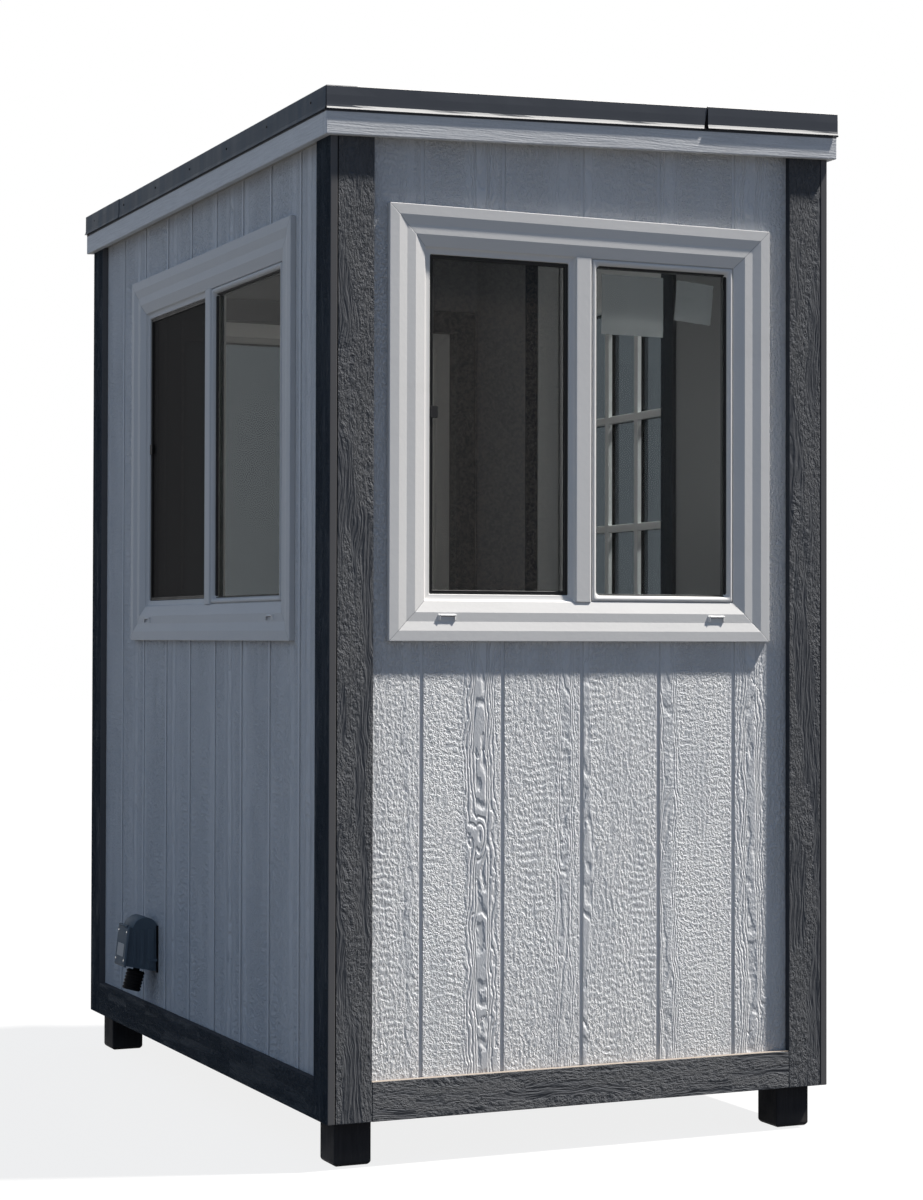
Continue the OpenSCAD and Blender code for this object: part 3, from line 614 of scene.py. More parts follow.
right_boards = sawn_boards("siding_right", "y", side_groove, 47.0, SIDE_HEARTS, SIDE_KNOTS, 0.0011)
# edges of the end, base and door trims: a darker painted shade; edges of the side trims: their own brown-grey
# paint
EDGE_PAINTED_SHADE = (0.046, 0.050, 0.058)
BROWN_EDGE = (0.128, 0.124, 0.124)
end_trim = trim_board("trim_ends", True, (1,), 3.0, EDGE_PAINTED_SHADE, seam=right_siding[1].x)
side_trim = trim_board("trim_sides", True, (0,), 8.0, BROWN_EDGE)
base_trim = trim_board("trim_base", False, (0, 1), 5.0, EDGE_PAINTED_SHADE, pale_top=back_siding[1].y)
door_trim = trim_board("trim_door", True, (0,), 13.0, EDGE_PAINTED_SHADE)
fascia = fascia_board("fascia")
# the flashing's plain grey, and the bluer painted shade of sky light on its long sides
UNSHADED_GREY = (0.078, 0.082, 0.092)
flashing = sheet_metal("flashing", (0.042, 0.057, 0.077), (0.058, 0.077, 0.101), UNSHADED_GREY, 0.45)
rubber = roof_rubber("roof_membrane")
lining = wall_board("lining")
casing = painted("casing", (0.080, 0.081, 0.086), (0.115, 0.116, 0.121), 0.5)
deck = painted("deck", (0.33, 0.31, 0.28), (0.42, 0.40, 0.36), 0.65, 90.0, 0.0008, 0.3)
floor_sheet = plank_floor("floor_sheet")
posts = post_timber("posts")
base_frame = post_timber("base_frame")
door_paint = painted("door_paint", (0.57, 0.574, 0.575), (0.62, 0.622, 0.62), 0.4)
lite_vinyl = painted("lite_vinyl", (0.60, 0.602, 0.602), (0.64, 0.64, 0.638), 0.36, 120.0)
clear_glass = sheet_glass("clear_glass", (0.85, 0.87, 0.872), 1.12, 0.05)
# the left window's glass is a darker copy of the clear glass, painted shade; the back window's and the door's
# glass are nearly black, painted shade over the view through them, though the door's glass lets lamplight
# through with a light tint
side_glass = sheet_glass("side_glass", (0.64, 0.645, 0.63), 1.05, 0.05)
shade_glass = sheet_glass("shade_glass", (0.078, 0.092, 0.102), 1.12, 0.12)
door_glass = sheet_glass("door_glass", (0.078, 0.092, 0.102), 1.12, 0.12, (0.8, 0.83, 0.83))
screen_bar = moulded("screen_bar", (0.012, 0.012, 0.013), (0.024, 0.024, 0.025), 0.45)
fly_mesh = insect_mesh("fly_mesh", 0.11, (0.016, 0.016, 0.016), (0.105, 0.092, 0.080))
# the left window's screen is a denser, near-black copy, a painted shade over that pane
mesh_in_painted_shade = insect_mesh("mesh_in_painted_shade", 0.43, (0.004, 0.004, 0.005), (0.009, 0.009, 0.010))
spacer = moulded("spacer", (0.060, 0.064, 0.066), (0.082, 0.086, 0.088), 0.5)
gasket = moulded("gasket", (0.018, 0.018, 0.019), (0.030, 0.030, 0.031), 0.6)
sill_metal = brushed_metal("sill_metal", (0.42, 0.42, 0.42), (0.55, 0.55, 0.55), 0.36, (20.0, 900.0, 20.0))
nickel = brushed_metal("nickel", (0.50, 0.49, 0.47), (0.62, 0.61, 0.59), 0.28, (300.0, 300.0, 900.0))
housing = moulded("inlet_housing", (0.096, 0.121, 0.143), (0.136, 0.166, 0.192), 0.5, specular=0.02)
black_rubber = moulded("inlet_black", (0.006, 0.006, 0.007), (0.014, 0.014, 0.015), 0.5, specular=0.03)
# the blank sheets are white paper coloured a dark blue-grey, a painted shade
blank_paper_painted_shade = paper("blank_paper_painted_shade", (0.118, 0.127, 0.132), (0.146, 0.155, 0.160))
label_card = paper("label_card", (0.52, 0.49, 0.45), (0.60, 0.57, 0.53))
# one white vinyl in two copies: a warmer, brighter one with painted sunlight for the front and back windows,
# and a darker one with painted shade for the left window
VINYL_PAINTED_SUNLIT = ((0.682, 0.670, 0.652), (0.730, 0.716, 0.696))
VINYL_PAINTED_SHADE = ((0.555, 0.557, 0.558), (0.597, 0.597, 0.596))
vinyl = {
    "front": window_vinyl("vinyl_front", 0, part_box("front_window_frame"), *VINYL_PAINTED_SUNLIT),
    "left": window_vinyl("vinyl_left", 1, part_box("left_window_frame"), *VINYL_PAINTED_SHADE),
    "back": window_vinyl("vinyl_back", 0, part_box("back_window_frame"), *VINYL_PAINTED_SUNLIT),
}


# Finish of the carried-over CAD nodes

def add_modifier(piece, kind, **settings):
    """Adds a modifier with its settings."""
    made = piece.modifiers.new(kind.lower(), kind)
    for name, value in settings.items():
        setattr(made, name, value)


def add_bevel(piece, width, segments, angle):
    """Eases the edges that turn by more than an angle in degrees."""
    add_modifier(
        piece, "BEVEL", width=width, segments=segments, limit_method="ANGLE", angle_limit=math.radians(angle),
    )


def finish_node(name, material, bevel, segments=2):
    """Gives a CAD node its material and, where asked, eased edges."""
    piece = nodes[name]
    piece.data.materials.clear()
    piece.data.materials.append(material)
    if bevel > 0:
        add_modifier(piece, "WELD", merge_threshold=0.00001)
        add_modifier(piece, "DECIMATE", decimate_type="DISSOLVE", angle_limit=math.radians(0.5))
        add_bevel(piece, bevel, segments, 25)


FINISHES = [
    ("feet", posts, 0.003),
    ("floor_frame", base_frame, 0.002),
    ("floor_deck", floor_sheet, 0.0),
    ("front_wall left_wall back_wall", lining, 0.0),
    ("right_wall_front right_wall_back right_wall_header", lining, 0.0),
    ("front_siding back_siding", end_boards, 0.0),
    ("left_siding", left_boards, 0.0),
    ("right_siding", right_boards, 0.0),
    ("end_corner_trims", end_trim, 0.0018),
    ("side_corner_trims", side_trim, 0.0018),
    ("bottom_trims", base_trim, 0.0018),
    ("roof_deck", deck, 0.0),
    ("end_fascias side_fascias", fascia, 0.002),
    ("end_flashings side_flashings", flashing, 0.0),
    ("roof_membrane", rubber, 0.0),
    ("front_window_glass", clear_glass, 0.0),
    ("left_window_glass", side_glass, 0.0),
    ("back_window_glass", shade_glass, 0.0),
    ("door_glass", door_glass, 0.0),
    ("window_casings", casing, 0.0015),
    ("door_frame", door_paint, 0.0015),
    ("door_casings", door_trim, 0.0018),
    ("door_threshold", sill_metal, 0.0012),
    ("door_leaf", door_paint, 0.0015),
    ("door_lite_frame", lite_vinyl, 0.003),
    ("door_knobs", nickel, 0.0012),
    ("hinge_frame_leaves hinge_door_leaves", nickel, 0.0006),
    ("inlet_box", housing, 0.003),
    ("inlet_lid", housing, 0.002),
    ("inlet_socket", black_rubber, 0.001),
    ("window_screens", screen_bar, 0.0),
]
for names, material, bevel in FINISHES:
    for name in names.split():
        finish_node(name, material, bevel)
for side in ("front", "left", "back"):
    finish_node(side + "_window_frame", vinyl[side], 0.0015)
    finish_node(side + "_window_sash", vinyl[side], 0.0035, 3)


# Mesh helpers

SHARP = math.radians(38)


def add_object(name, data):
    """Puts data into the scene as a named object."""
    made = bpy.data.objects.new(name, data)
    bpy.context.scene.collection.objects.link(made)
    return made


def new_piece(name, bm, material, body="booth", smooth=False):
    """Turns a bmesh into a named piece that rides on a body."""
    bmesh.ops.recalc_face_normals(bm, faces=bm.faces)
    for edge in bm.edges:
        edge.smooth = edge.calc_face_angle(0.0) < SHARP
    mesh = bpy.data.meshes.new(name)
    bm.to_mesh(mesh)
    bm.free()
    if smooth:
        mesh.shade_smooth()
    mesh.materials.append(material)
    piece = add_object(name, mesh)
    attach(piece, body)
    return piece


def bridge(bm, rows, closed=True):
    """Faces between each row of corners and the next; a closed row goes round to its first corner again."""
    for low, high in zip(rows, rows[1:]):
        count = len(low)
        for i in range(count if closed else count - 1):
            j = (i + 1) % count
            bm.faces.new((low[i], low[j], high[j], high[i]))


def add_ring(bm, profile, x0, x1, z0, z1, place=Matrix()):
    """A mitred ring inside a rectangle; profile points are an inset, a depth and perhaps a corner radius."""
    loops = []
    for inset, depth, *radius in profile:
        corners = rectangle(x0 + inset, x1 - inset, z0 + inset, z1 - inset, *radius)
        loops.append([bm.verts.new(place @ Vector((x, depth, z))) for x, z in corners])
    bridge(bm, loops + loops[:1])


def rectangle(x0, x1, z0, z1, radius=None, steps=5):
    """The corners of a rectangle, or its outline where the corners are rounded."""
    if radius is None:
        return [(x0, z0), (x1, z0), (x1, z1), (x0, z1)]
    outline = []
    turns = ((x0, z0, 1, 1, 180), (x1, z0, -1, 1, 270), (x1, z1, -1, -1, 0), (x0, z1, 1, -1, 90))
    for x, z, inward_x, inward_z, start in turns:
        for i in range(steps + 1):
            angle = math.radians(start + 90 * i / steps)
            outline.append((
                x + inward_x * radius + math.cos(angle) * radius,
                z + inward_z * radius + math.sin(angle) * radius,
            ))
    return outline


def add_prism(bm, profile, start, end, side, out):
    """A bar of a closed profile from start to end; profile points are (along side, along out)."""
    rows = []
    for base in (Vector(start), Vector(end)):
        rows.append([bm.verts.new(base + Vector(side) * a + Vector(out) * b) for a, b in profile])
    bridge(bm, rows)
    bm.faces.new(rows[0])
    bm.faces.new(list(reversed(rows[1])))


def add_dome(bm, centre, out, radius, height, sides=10):
    """A low round head, such as a nail or a screw, standing on a surface."""
    out = Vector(out).normalized()
    turn = out.to_track_quat("Z", "Y").to_matrix()
    rows = []
    for part, level in ((1.0, 0.0), (1.0, 0.35), (0.72, 0.85)):
        row = []
        for i in range(sides):
            angle = 2 * math.pi * i / sides
            reach = radius * part
            spot = Vector((math.cos(angle) * reach, math.sin(angle) * reach, height * level))
            row.append(bm.verts.new(Vector(centre) + turn @ spot))
        rows.append(row)
    top = bm.verts.new(Vector(centre) + out * height)
    bridge(bm, rows)
    for i in range(sides):
        bm.faces.new((rows[-1][i], rows[-1][(i + 1) % sides], top))
    bm.faces.new(list(reversed(rows[0])))


# Windows

def window_place(side):
    """The matrix from a window's own frame (right, into the wall, up) to the row frame, and its size."""
    low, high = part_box(side + "_window_frame")
    size = high - low
    middle = (low + high) / 2
    if side == "front":
        return Matrix.Translation((middle.x, front_siding[0].y, low.z)), size.x, size.z
    if side == "back":
        shift = Matrix.Translation((middle.x, back_siding[1].y, low.z))
        return shift @ Matrix.Rotation(math.pi, 4, "Z"), size.x, size.z
    shift = Matrix.Translation((left_siding[0].x, middle.y, low.z))
    return shift @ Matrix.Rotation(-math.pi / 2, 4, "Z"), size.y, size.z


WINDOWS = {side: window_place(side) for side in ("front", "left", "back")}


def window_axes(place):
    """The directions right, up and out of a window."""
    turn = place.to_3x3()
    return turn @ Vector((1, 0, 0)), turn @ Vector((0, 0, 1)), turn @ Vector((0, -1, 0))


def slide_opening(width, height):
    """The clear opening inside the sliding half's own frame, as x0, x1, z0, z1."""
    inset = WIN_FACE + RAIL_W
    return -width / 2 + inset, MULLION_LEFT - RAIL_W, inset, height - inset


def fixed_opening(width, height):
    """The clear opening inside the fixed half's bead."""
    inset = WIN_FACE + BEAD_W
    return MULLION_RIGHT + BEAD_W, width / 2 - inset, inset, height - inset


def make_screens():
    """Screen frames with a rounded face, and the mesh rolled into them with a spline line."""
    bars = bmesh.new()
    d0, d1 = SCREEN_DEPTH, SCREEN_DEPTH + SCREEN_T
    w = SCREEN_W
    profile = [
        (0.0, d1), (0.0, d0 + 0.001), (0.001, d0), (w * 0.45, d0), (w * 0.5, d0 + 0.0012),
        (w * 0.62, d0 + 0.0012), (w * 0.68, d0), (w - 0.001, d0), (w, d0 + 0.001), (w, d1),
    ]
    middle = (d0 + d1) / 2 + 0.0005
    lap = w / 2
    for side, (place, width, height) in WINDOWS.items():
        x0, x1, z0, z1 = slide_opening(width, height)
        add_ring(bars, profile, x0, x1, z0, z1, place)
        sheet = bmesh.new()
        corners = rectangle(x0 + lap, x1 - lap, z0 + lap, z1 - lap)
        sheet.faces.new([sheet.verts.new(place @ Vector((x, middle, z))) for x, z in corners])
        new_piece(side + "_screen_mesh", sheet, mesh_in_painted_shade if side == "left" else fly_mesh)
    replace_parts(new_piece("screen_frames", bars, screen_bar), "window_screens")


def make_sashes():
    """The bar between the panes, the round bead of the fixed pane and the rails of the sliding one."""
    bead = (
        (0.0, SASH_BACK, 0.001), (0.0, 0.0045, 0.001), (0.0022, 0.0045, 0.002), (0.0026, 0.0006, 0.003),
        (0.0040, -0.0012, 0.004), (0.0065, -0.0018, 0.006), (0.0095, -0.0012, 0.008),
        (0.0125, 0.0014, 0.010), (0.0146, 0.0055, 0.011), (BEAD_W, PANE_DEPTH, 0.012),
    )
    rail = (
        (0.0, SASH_BACK, 0.001), (0.0, 0.0016, 0.001), (0.0016, 0.0040, 0.001), (0.0040, 0.0058, 0.001),
        (0.0118, 0.0060, 0.002), (0.0138, 0.0066, 0.003), (0.0148, 0.0084, 0.004),
        (RAIL_W, SASH_BACK, 0.004),
    )
    bar = (
        (MULLION_LEFT, -SASH_BACK), (MULLION_LEFT, 0.0022), (MULLION_LEFT + 0.0006, 0.0034),
        (MULLION_LEFT + 0.0018, MULLION_PROUD), (MULLION_LEFT + 0.0026, MULLION_PROUD),
        (0.0157, MULLION_PROUD), (0.0165, MULLION_PROUD), (0.0185, 0.0032),
        (0.0200, 0.0010), (MULLION_RIGHT, -0.0030), (MULLION_RIGHT, -SASH_BACK),
    )
    for side, (place, width, height) in WINDOWS.items():
        bm = bmesh.new()
        z0, z1 = WIN_FACE, height - WIN_FACE
        reach = width / 2 - WIN_FACE
        add_ring(bm, bead, MULLION_RIGHT, reach, z0, z1, place)
        add_ring(bm, rail, -reach, MULLION_LEFT, z0, z1, place)
        right, _, out = window_axes(place)
        add_prism(bm, bar, place @ Vector((0, 0, z0)), place @ Vector((0, 0, z1)), right, out)
        piece = new_piece(side + "_sash_bars", bm, vinyl[side], smooth=True)
        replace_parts(piece, side + "_window_sash")


def make_seals():
    """The black seals between the glass and the vinyl, and the grey spacer bars behind the fixed panes."""
    seals, bars = bmesh.new(), bmesh.new()
    fixed_seal = ((-0.0004, PANE_DEPTH), (-0.0008, 0.0070), (0.0012, 0.0082), (0.0030, PANE_DEPTH))
    slide_seal = ((0.0, SLIDE_DEPTH), (0.0, 0.0290), (0.0015, 0.0292), (0.0022, SLIDE_DEPTH))
    near, far = PANE_DEPTH + 0.0064, PANE_DEPTH + 0.014
    bar = ((-0.0010, far), (-0.0010, near), (0.0030, near), (0.0036, near + 0.0006), (0.0036, far))
    for place, width, height in WINDOWS.values():
        fixed = fixed_opening(width, height)
        add_ring(seals, fixed_seal, *fixed, place)
        add_ring(seals, slide_seal, *slide_opening(width, height), place)
        add_ring(bars, bar, *fixed, place)
    new_piece("window_gaskets", seals, gasket)
    new_piece("pane_spacers", bars, spacer)


def make_weep_covers():
    """Small white hoods over the drain slots in the bottom bar of each window, with a black strip under each
    lip for the slot and its painted shade.
    """
    hoods, slots_and_shade = bmesh.new(), bmesh.new()
    half, high, proud = 0.022, 0.014, 0.005
    from_corner, sunk, slot_proud, leg_short = 0.145, 0.0001, 0.0006, 0.0012
    level = WIN_STEP * 2 + 0.0075
    lip = ((0.0, 0.0), (-0.0030, proud), (-0.0042, proud), (-0.0026, 0.0))
    hole = rectangle(-half + 0.0030, half - 0.0030, high / 2 - 0.0056, high / 2 - 0.0024)
    for place, width, _ in WINDOWS.values():
        right, up, out = window_axes(place)
        top = up * high / 2
        for x in (-width / 2 + from_corner, width / 2 - from_corner):
            centre = place @ Vector((x, -WIN_MID_PROUD + sunk, level))
            add_prism(hoods, lip, centre + top - right * half, centre + top + right * half, up, out)
            for sign in (-1, 1):
                leg = centre + right * sign * half
                add_prism(hoods, lip, leg - top, leg + top - up * leg_short, right * sign, out)
            # the drain slot under the lip, black as painted shade
            add_prism(slots_and_shade, hole, centre, centre + out * slot_proud, right, up)
    new_piece("weep_covers", hoods, lite_vinyl)
    new_piece("weep_slots_and_shade", slots_and_shade, gasket)


def make_latches():
    """The black pull tab on the screen's outer stile."""
    bm = bmesh.new()
    wide, high, thick, corner = 0.019, 0.028, 0.0035, 0.003
    from_rail, sunk, level = 0.001, 0.0002, 0.528
    tab = rectangle(0.0, wide, -high / 2, high / 2, corner)
    for place, width, height in WINDOWS.values():
        right, up, out = window_axes(place)
        x = -width / 2 + WIN_FACE + RAIL_W + from_rail
        start = place @ Vector((x, SCREEN_DEPTH - sunk, height * level))
        add_prism(bm, tab, start, start + out * thick, right, up)
    add_bevel(new_piece("screen_pulls", bm, gasket), 0.0008, 2, 30)


make_screens()
make_sashes()
make_seals()
make_weep_covers()
make_latches()


def make_papers():
    """Two blank sheets taped inside the fixed front pane, curled away from it at their edges."""
    place = WINDOWS["front"][0]
    behind = PANE_DEPTH + 0.0055
    side_curl, foot_curl = 0.010, 0.03
    # each sheet: its name, place, size, tilt in degrees and depth of creases
    sheets = (
        ("notice_sheet", 0.1405, 0.795, 0.165, 0.142, 0.0, 0.001),
        ("notice_card", 0.3065, 0.811, 0.100, 0.096, 5.0, 0.006),
    )
    for name, x, z, wide, high, tilt, creased in sheets:
        bm = bmesh.new()
        turn = Matrix.Rotation(math.radians(tilt), 4, "Y")
        count = 12
        grid = []
        for j in range(count + 1):
            row = []
            for i in range(count + 1):
                a, b = i / count - 0.5, j / count - 0.5
                curl = side_curl * max(0.0, abs(a) - 0.3) + foot_curl * max(0.0, -b - 0.25) ** 2
                curl += creased * abs(noise.noise(Vector((a * 4.0, b * 4.0, 7.0))))
                spot = turn @ Vector((a * wide, 0, b * high))
                row.append(bm.verts.new(place @ (spot + Vector((x, behind + curl, z)))))
            grid.append(row)
        bridge(bm, grid, closed=False)
        new_piece(name, bm, blank_paper_painted_shade, smooth=True)


make_papers()


# Roof edge

def add_flashing(bm, along, out, start, end, edge, lift, slant=0.0):
    """One length of bent sheet: a top leg, a face and a kicked-out hem, slightly wavy along its run."""
    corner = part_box("end_flashings")[1]
    top = corner.z - roof_line(corner.x) - 0.0016
    step, wavy = 0.03, 0.0012
    section = (
        (-0.074, top), (-0.04, top), (0.0, top), (0.0016, top - 0.0014), (0.0017, top * 0.6),
        (0.0017, top * 0.3), (0.0018, 0.0096), (0.0032, 0.0050), (0.0046, 0.0010), (0.0045, 0.0),
    )
    count = max(2, int((end - start) / step))
    rows = []
    for i in range(count + 1):
        run = start + (end - start) * i / count
        wave = noise.noise(Vector((run * 2.3, edge * 3.0, lift * 900)))
        ripple = noise.noise(Vector((run * 7.0, edge * 5.0, 3.0)))
        row = []
        for reach, high in section:
            on_face = 1.0 if 0.0017 <= reach < 0.0025 and high < top * 0.9 else 0.0
            push = reach + lift + on_face * wavy * max(0.0, ripple + 0.3)
            cut = slant * (1.0 - high / top) if i == count else 0.0
            spot = Vector(along) * (run - cut) + Vector(out) * (edge + push)
            spot.z = roof_line(spot.x) + high + lift * 0.6
            if high < 0.01:
                spot.z += wavy * wave
            row.append(bm.verts.new(spot))
        rows.append(row)
    bridge(bm, rows, closed=False)


def thicken(piece, thickness):
    """Gives a sheet its thickness, inwards."""
    add_modifier(piece, "SOLIDIFY", thickness=thickness, offset=-1.0)


def make_flashings():
    """Edge flashing in lengths that lap each other, with the screws that hold the long sides."""
    ends, sides, laps, screws = bmesh.new(), bmesh.new(), bmesh.new(), bmesh.new()
    reach_x, reach_y = edge_high.x, edge_high.y
    lap_x, lap_y = 0.304, 0.634
    end_lift, side_lift, behind = 0.0022, 0.0014, -0.0013
    screw_count, screw_end, screw_high, screw_out = 7, 0.09, 0.030, 0.0024
    for sign in (-1, 1):
        out = (0, sign, 0)
        joint = -sign * lap_x
        add_flashing(ends, (1, 0, 0), out, -reach_x, joint, reach_y, 0.0, 0.011)
        add_flashing(ends, (1, 0, 0), out, joint, reach_x, reach_y, end_lift)
        # a short black length behind each joint, painted shade in the lap
        add_flashing(laps, (1, 0, 0), out, joint - 0.03, joint + 0.03, reach_y, behind)
        out = (sign, 0, 0)
        add_flashing(sides, (0, 1, 0), out, -reach_y - 0.001, lap_y + 0.05, reach_x, 0.0)
        add_flashing(sides, (0, 1, 0), out, lap_y, reach_y + 0.001, reach_x, side_lift)
        for k in range(screw_count):
            y = (reach_y - screw_end) * (2 * k / (screw_count - 1) - 1)
            x = sign * (reach_x + screw_out)
            add_dome(screws, (x, y, roof_line(x) + screw_high), out, 0.0030, 0.0016)
    for side, bm in (("end", ends), ("side", sides)):
        piece = new_piece(side + "_drip_edges", bm, flashing)
        thicken(piece, 0.0011)
        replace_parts(piece, side + "_flashings")
    thicken(new_piece("flashing_laps", laps, black_rubber), 0.0006)
    new_piece("flashing_screws", screws, black_rubber, smooth=True)


make_flashings()


# Door

def make_muntins():
    """The bars that divide the door's glass into nine lites, on both faces of the glass."""
    bm = bmesh.new()
    rim_low, rim_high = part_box("door_lite_frame")
    glass_low, glass_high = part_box("door_glass")
    lip = 0.040
    y0, y1 = rim_low.y + lip, rim_high.y - lip
    z0, z1 = rim_low.z + lip, rim_high.z - lip
    half, proud, ease = 0.0105, 0.012, 0.0015
    top = half - ease
    upright = [
        (-half, 0.0), (-half, proud - ease), (-top, proud), (top, proud), (half, proud - ease), (half, 0.0),
    ]
    # the level bars are a little smaller, so that no faces coincide where bars cross
    level = [(side * 0.96, high * 0.94) for side, high in upright]
    for face, out in ((glass_high.x, 1.0), (glass_low.x, -1.0)):
        for k in (1, 2):
            y = y0 + (y1 - y0) * k / 3
            add_prism(bm, upright, (face, y, z0), (face, y, z1), (0, 1, 0), (out, 0, 0))
            z = z0 + (z1 - z0) * k / 3
            add_prism(bm, level, (face, y0, z), (face, y1, z), (0, 0, 1), (out, 0, 0))
    new_piece("door_muntins", bm, lite_vinyl, "door")


make_muntins()


# Power inlet

def make_inlet_details():
    """The seal behind the housing, black as painted shade in the gap at the wall, its moulded ribs, the lid's
    hinge, screws and blank label.
    """
    box_low, box_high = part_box("inlet_box")
    wall = left_siding[0].x
    middle = (box_low.y + box_high.y) / 2
    half = (box_high.y - box_low.y) / 2
    foot_z = box_low.z + 0.020
    lid_lean, lid_high, lid_thick = 0.012, 0.102, 0.0062
    lean = math.atan(lid_lean / lid_high)
    up = Vector((math.sin(lean), 0, math.cos(lean)))
    out = Vector((-math.cos(lean), 0, math.sin(lean)))
    side = Vector((0, 1, 0))
    foot = Vector((box_low.x, middle, foot_z)) + out * lid_thick

    # a black ring round the housing at the wall: its seal, and painted shade in the gap
    seal_and_shade = bmesh.new()
    rim, seal_out = 0.0025, 0.006
    outline = rectangle(-half - rim, half + rim, -0.0015, 0.1245)
    add_prism(seal_and_shade, outline, (wall, middle, box_low.z), (wall - seal_out, middle, box_low.z), side, (0, 0, 1))
    new_piece("inlet_seal_and_shade", seal_and_shade, black_rubber)

    ribs = bmesh.new()
    # each rib: its distance from the wall, half width, foot and top
    rib_sizes = ((0.020, 0.009, 0.012, 0.118), (0.044, 0.005, 0.020, 0.116), (0.066, 0.005, 0.024, 0.114))
    rib_proud = 0.0022
    ledge = ((-0.003, 0.0), (-0.003, 0.0040), (0.003, 0.0034), (0.004, 0.0))
    ledge_z = box_low.z + 0.032
    for facing in (-1, 1):
        face = middle + facing * half
        for x, wide, low, high in rib_sizes:
            profile = [(-wide, 0.0), (-wide * 0.8, rib_proud), (wide * 0.8, rib_proud), (wide, 0.0)]
            start, end = (wall - x, face, box_low.z + low), (wall - x, face, box_low.z + high)
            add_prism(ribs, profile, start, end, (1, 0, 0), (0, facing, 0))
        start, end = (wall - 0.004, face, ledge_z), (wall - 0.030, face, ledge_z)
        add_prism(ribs, ledge, start, end, (0, 0, 1), (0, facing, 0))
    barrel_r, barrel_sides = 0.0042, 12
    angles = [2 * math.pi * i / barrel_sides for i in range(barrel_sides)]
    barrel = [(barrel_r * math.cos(angle), barrel_r * math.sin(angle)) for angle in angles]
    axis = foot + up * 0.1045 - out * 0.002
    for low, high in ((-0.036, -0.012), (-0.010, 0.010), (0.012, 0.036)):
        add_prism(ribs, barrel, axis + side * low, axis + side * high, up, out)
    new_piece("inlet_ribs", ribs, housing, smooth=True)

    screws = bmesh.new()
    for a in (-0.036, 0.036):
        for b in (0.014, 0.090):
            add_dome(screws, foot + side * a + up * b, out, 0.0030, 0.0008)
    new_piece("inlet_screws", screws, nickel, smooth=True)

    label = bmesh.new()
    plate = rectangle(-0.028, 0.028, -0.017, 0.017, 0.004)
    centre = foot + up * 0.040
    add_prism(label, plate, centre, centre + out * 0.0007, side, up)
    new_piece("inlet_label", label, label_card)


make_inlet_details()


# Stage, camera and light

FLOOR_HALF = 40.0
FLOOR_GLOW = 0.84
AMBIENT = (0.140, 0.202, 0.314)
# where the lamps stand, their strength as a share of what renders a colour as it is written, their sizes in
# metres and the sun's width in degrees
SUN_FROM = Vector((0.483, -0.1455, 0.8634))
SUN_LEVEL = 2.48
SUN_WIDE = 2.5
SUN_COLOUR = (1.0, 0.965, 0.915)
FILL_FROM = Vector((-7.0, -2.0, 7.0))
FILL_TO = Vector((0, -0.9, 1.3))
FILL_LEVEL = 0.06
FILL_SIZE = 5.0
FILL_COLOUR = (0.72, 0.86, 1.0)
CABIN_PLACE = Vector((-0.45, 0.0, 1.75))
CABIN_LEVEL = 0.165
CABIN_WIDE = 1.3
CABIN_HIGH = 0.9
LIGHT_UNIT = math.pi


def make_floor():
    """A pale floor that glows to the camera and keeps the shadow."""
    bm = bmesh.new()
    bmesh.ops.create_grid(bm, x_segments=1, y_segments=1, size=FLOOR_HALF)
    mesh = bpy.data.meshes.new("floor")
    bm.to_mesh(mesh)
    bm.free()
    floor = add_object("floor", mesh)
    floor.location.z = -0.0005
    shader = Shader("floor", Roughness=0.9, Specular_IOR_Level=0.0, Emission_Color=(1.0, 1.0, 1.0, 1.0))
    cloud = shader.place().noise(0.6)
    shader.set(
        Base_Color=cloud.mix((0.095, 0.095, 0.095), (0.105, 0.105, 0.105)),
        Emission_Strength=shader.seen() * FLOOR_GLOW,
    )
    mesh.materials.append(shader.material)


def make_world():
    """A sky that lights softly and is white where it is seen, mirrored or looked at through glass."""
    world = bpy.data.worlds.new("studio")
    bpy.context.scene.world = world
    world.use_nodes = True
    sky = Nodes(world.node_tree)
    colour = sky.seen().mix(AMBIENT, (1.0, 1.0, 1.0))
    sky.put(colour, sky.tree.nodes["Background"].inputs["Color"])


def add_lamp(name, kind, energy, place, turn, **settings):
    """A lamp of a kind at a place; turn brings its beam from straight down to its own direction."""
    lamp = bpy.data.lights.new(name, kind)
    lamp.energy = energy
    for setting, value in settings.items():
        setattr(lamp, setting, value)
    made = add_object(name, lamp)
    made.matrix_world = Matrix.Translation(place) @ turn.to_matrix().to_4x4()
    return made


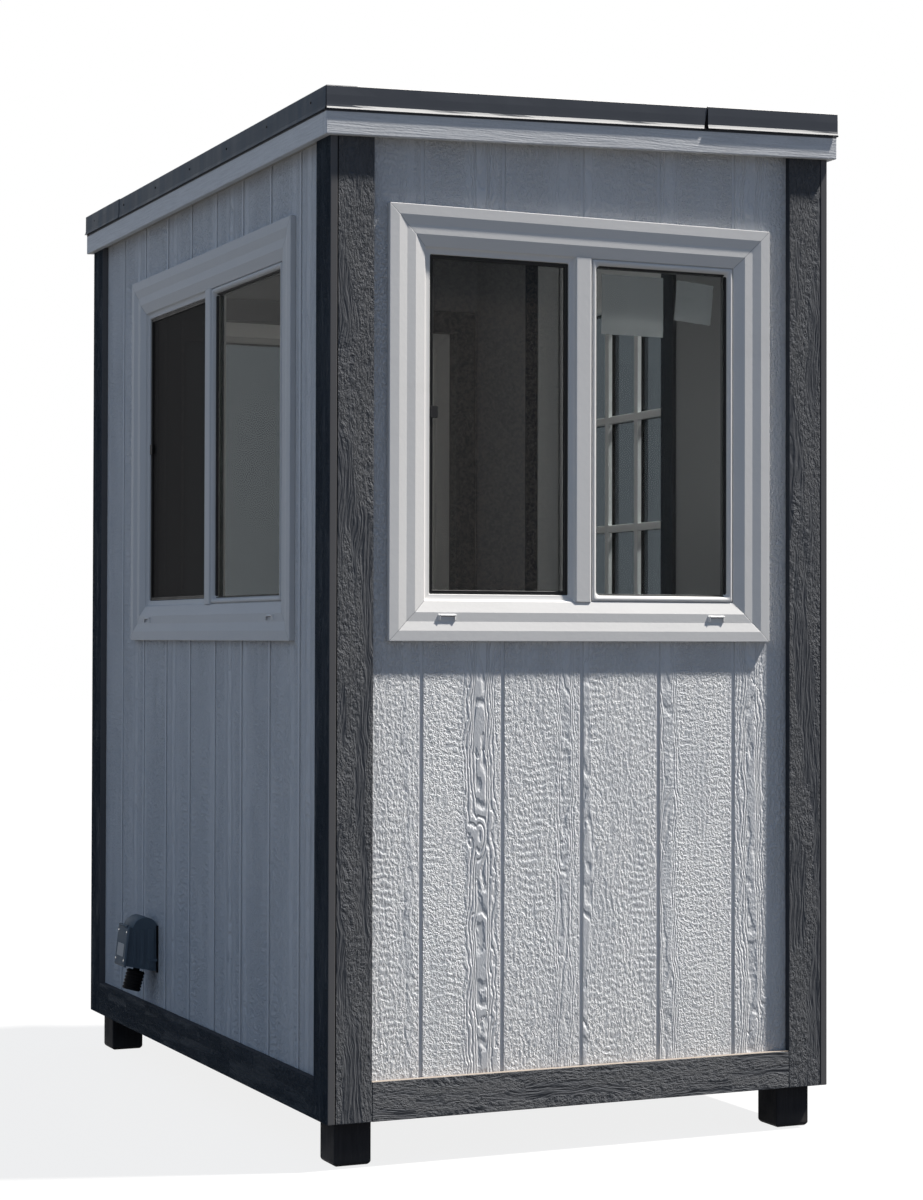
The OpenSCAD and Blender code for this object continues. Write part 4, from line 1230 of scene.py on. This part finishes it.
def make_lamps():
    """The sun, a weak bluish fill from the left, and a soft lamp inside the booth, out of sight."""
    sun_turn = SUN_FROM.to_track_quat("Z", "Y")
    sun_angle = math.radians(SUN_WIDE)
    add_lamp("sun", "SUN", SUN_LEVEL * LIGHT_UNIT, Vector(), sun_turn, angle=sun_angle, color=SUN_COLOUR)

    beam = FILL_FROM - FILL_TO
    energy = FILL_LEVEL * LIGHT_UNIT * LIGHT_UNIT * beam.length ** 2
    fill_turn = beam.to_track_quat("Z", "Y")
    add_lamp("fill", "AREA", energy, FILL_FROM, fill_turn, shape="DISK", size=FILL_SIZE, color=FILL_COLOUR)

    energy = CABIN_LEVEL * LIGHT_UNIT * LIGHT_UNIT
    to_the_right = Euler((math.radians(90), 0.0, math.radians(-90)))
    cabin = add_lamp(
        "cabin", "AREA", energy, CABIN_PLACE, to_the_right,
        shape="RECTANGLE", size=CABIN_WIDE, size_y=CABIN_HIGH,
    )
    cabin.visible_camera = False
    cabin.visible_glossy = False
    cabin.visible_transmission = False


CAMERA_PLACE = Vector((-2.66855, -6.1759, 1.18096))
CAMERA_YAW = 0.4217
CAMERA_PITCH = 0.0155
CAMERA_ROLL = 0.0024
CAMERA_LENS = 75.503


def make_camera():
    """The camera at the photograph's viewing angle, turned by its yaw, pitch and roll in radians."""
    ahead = Vector((
        math.sin(CAMERA_YAW) * math.cos(CAMERA_PITCH),
        math.cos(CAMERA_YAW) * math.cos(CAMERA_PITCH),
        math.sin(CAMERA_PITCH),
    ))
    right = Vector((math.cos(CAMERA_YAW), -math.sin(CAMERA_YAW), 0.0))
    up = right.cross(ahead)
    c, s = math.cos(CAMERA_ROLL), math.sin(CAMERA_ROLL)
    right, up = c * right + s * up, c * up - s * right
    data = bpy.data.cameras.new("camera")
    data.lens = CAMERA_LENS
    data.sensor_width = 36.0
    camera = add_object("camera", data)
    turn = Matrix((right, up, -ahead)).transposed()
    camera.matrix_world = Matrix.Translation(CAMERA_PLACE) @ turn.to_4x4()
    bpy.context.scene.camera = camera


make_floor()
make_world()
make_lamps()
make_camera()
bpy.context.scene.view_settings.view_transform = "Standard"
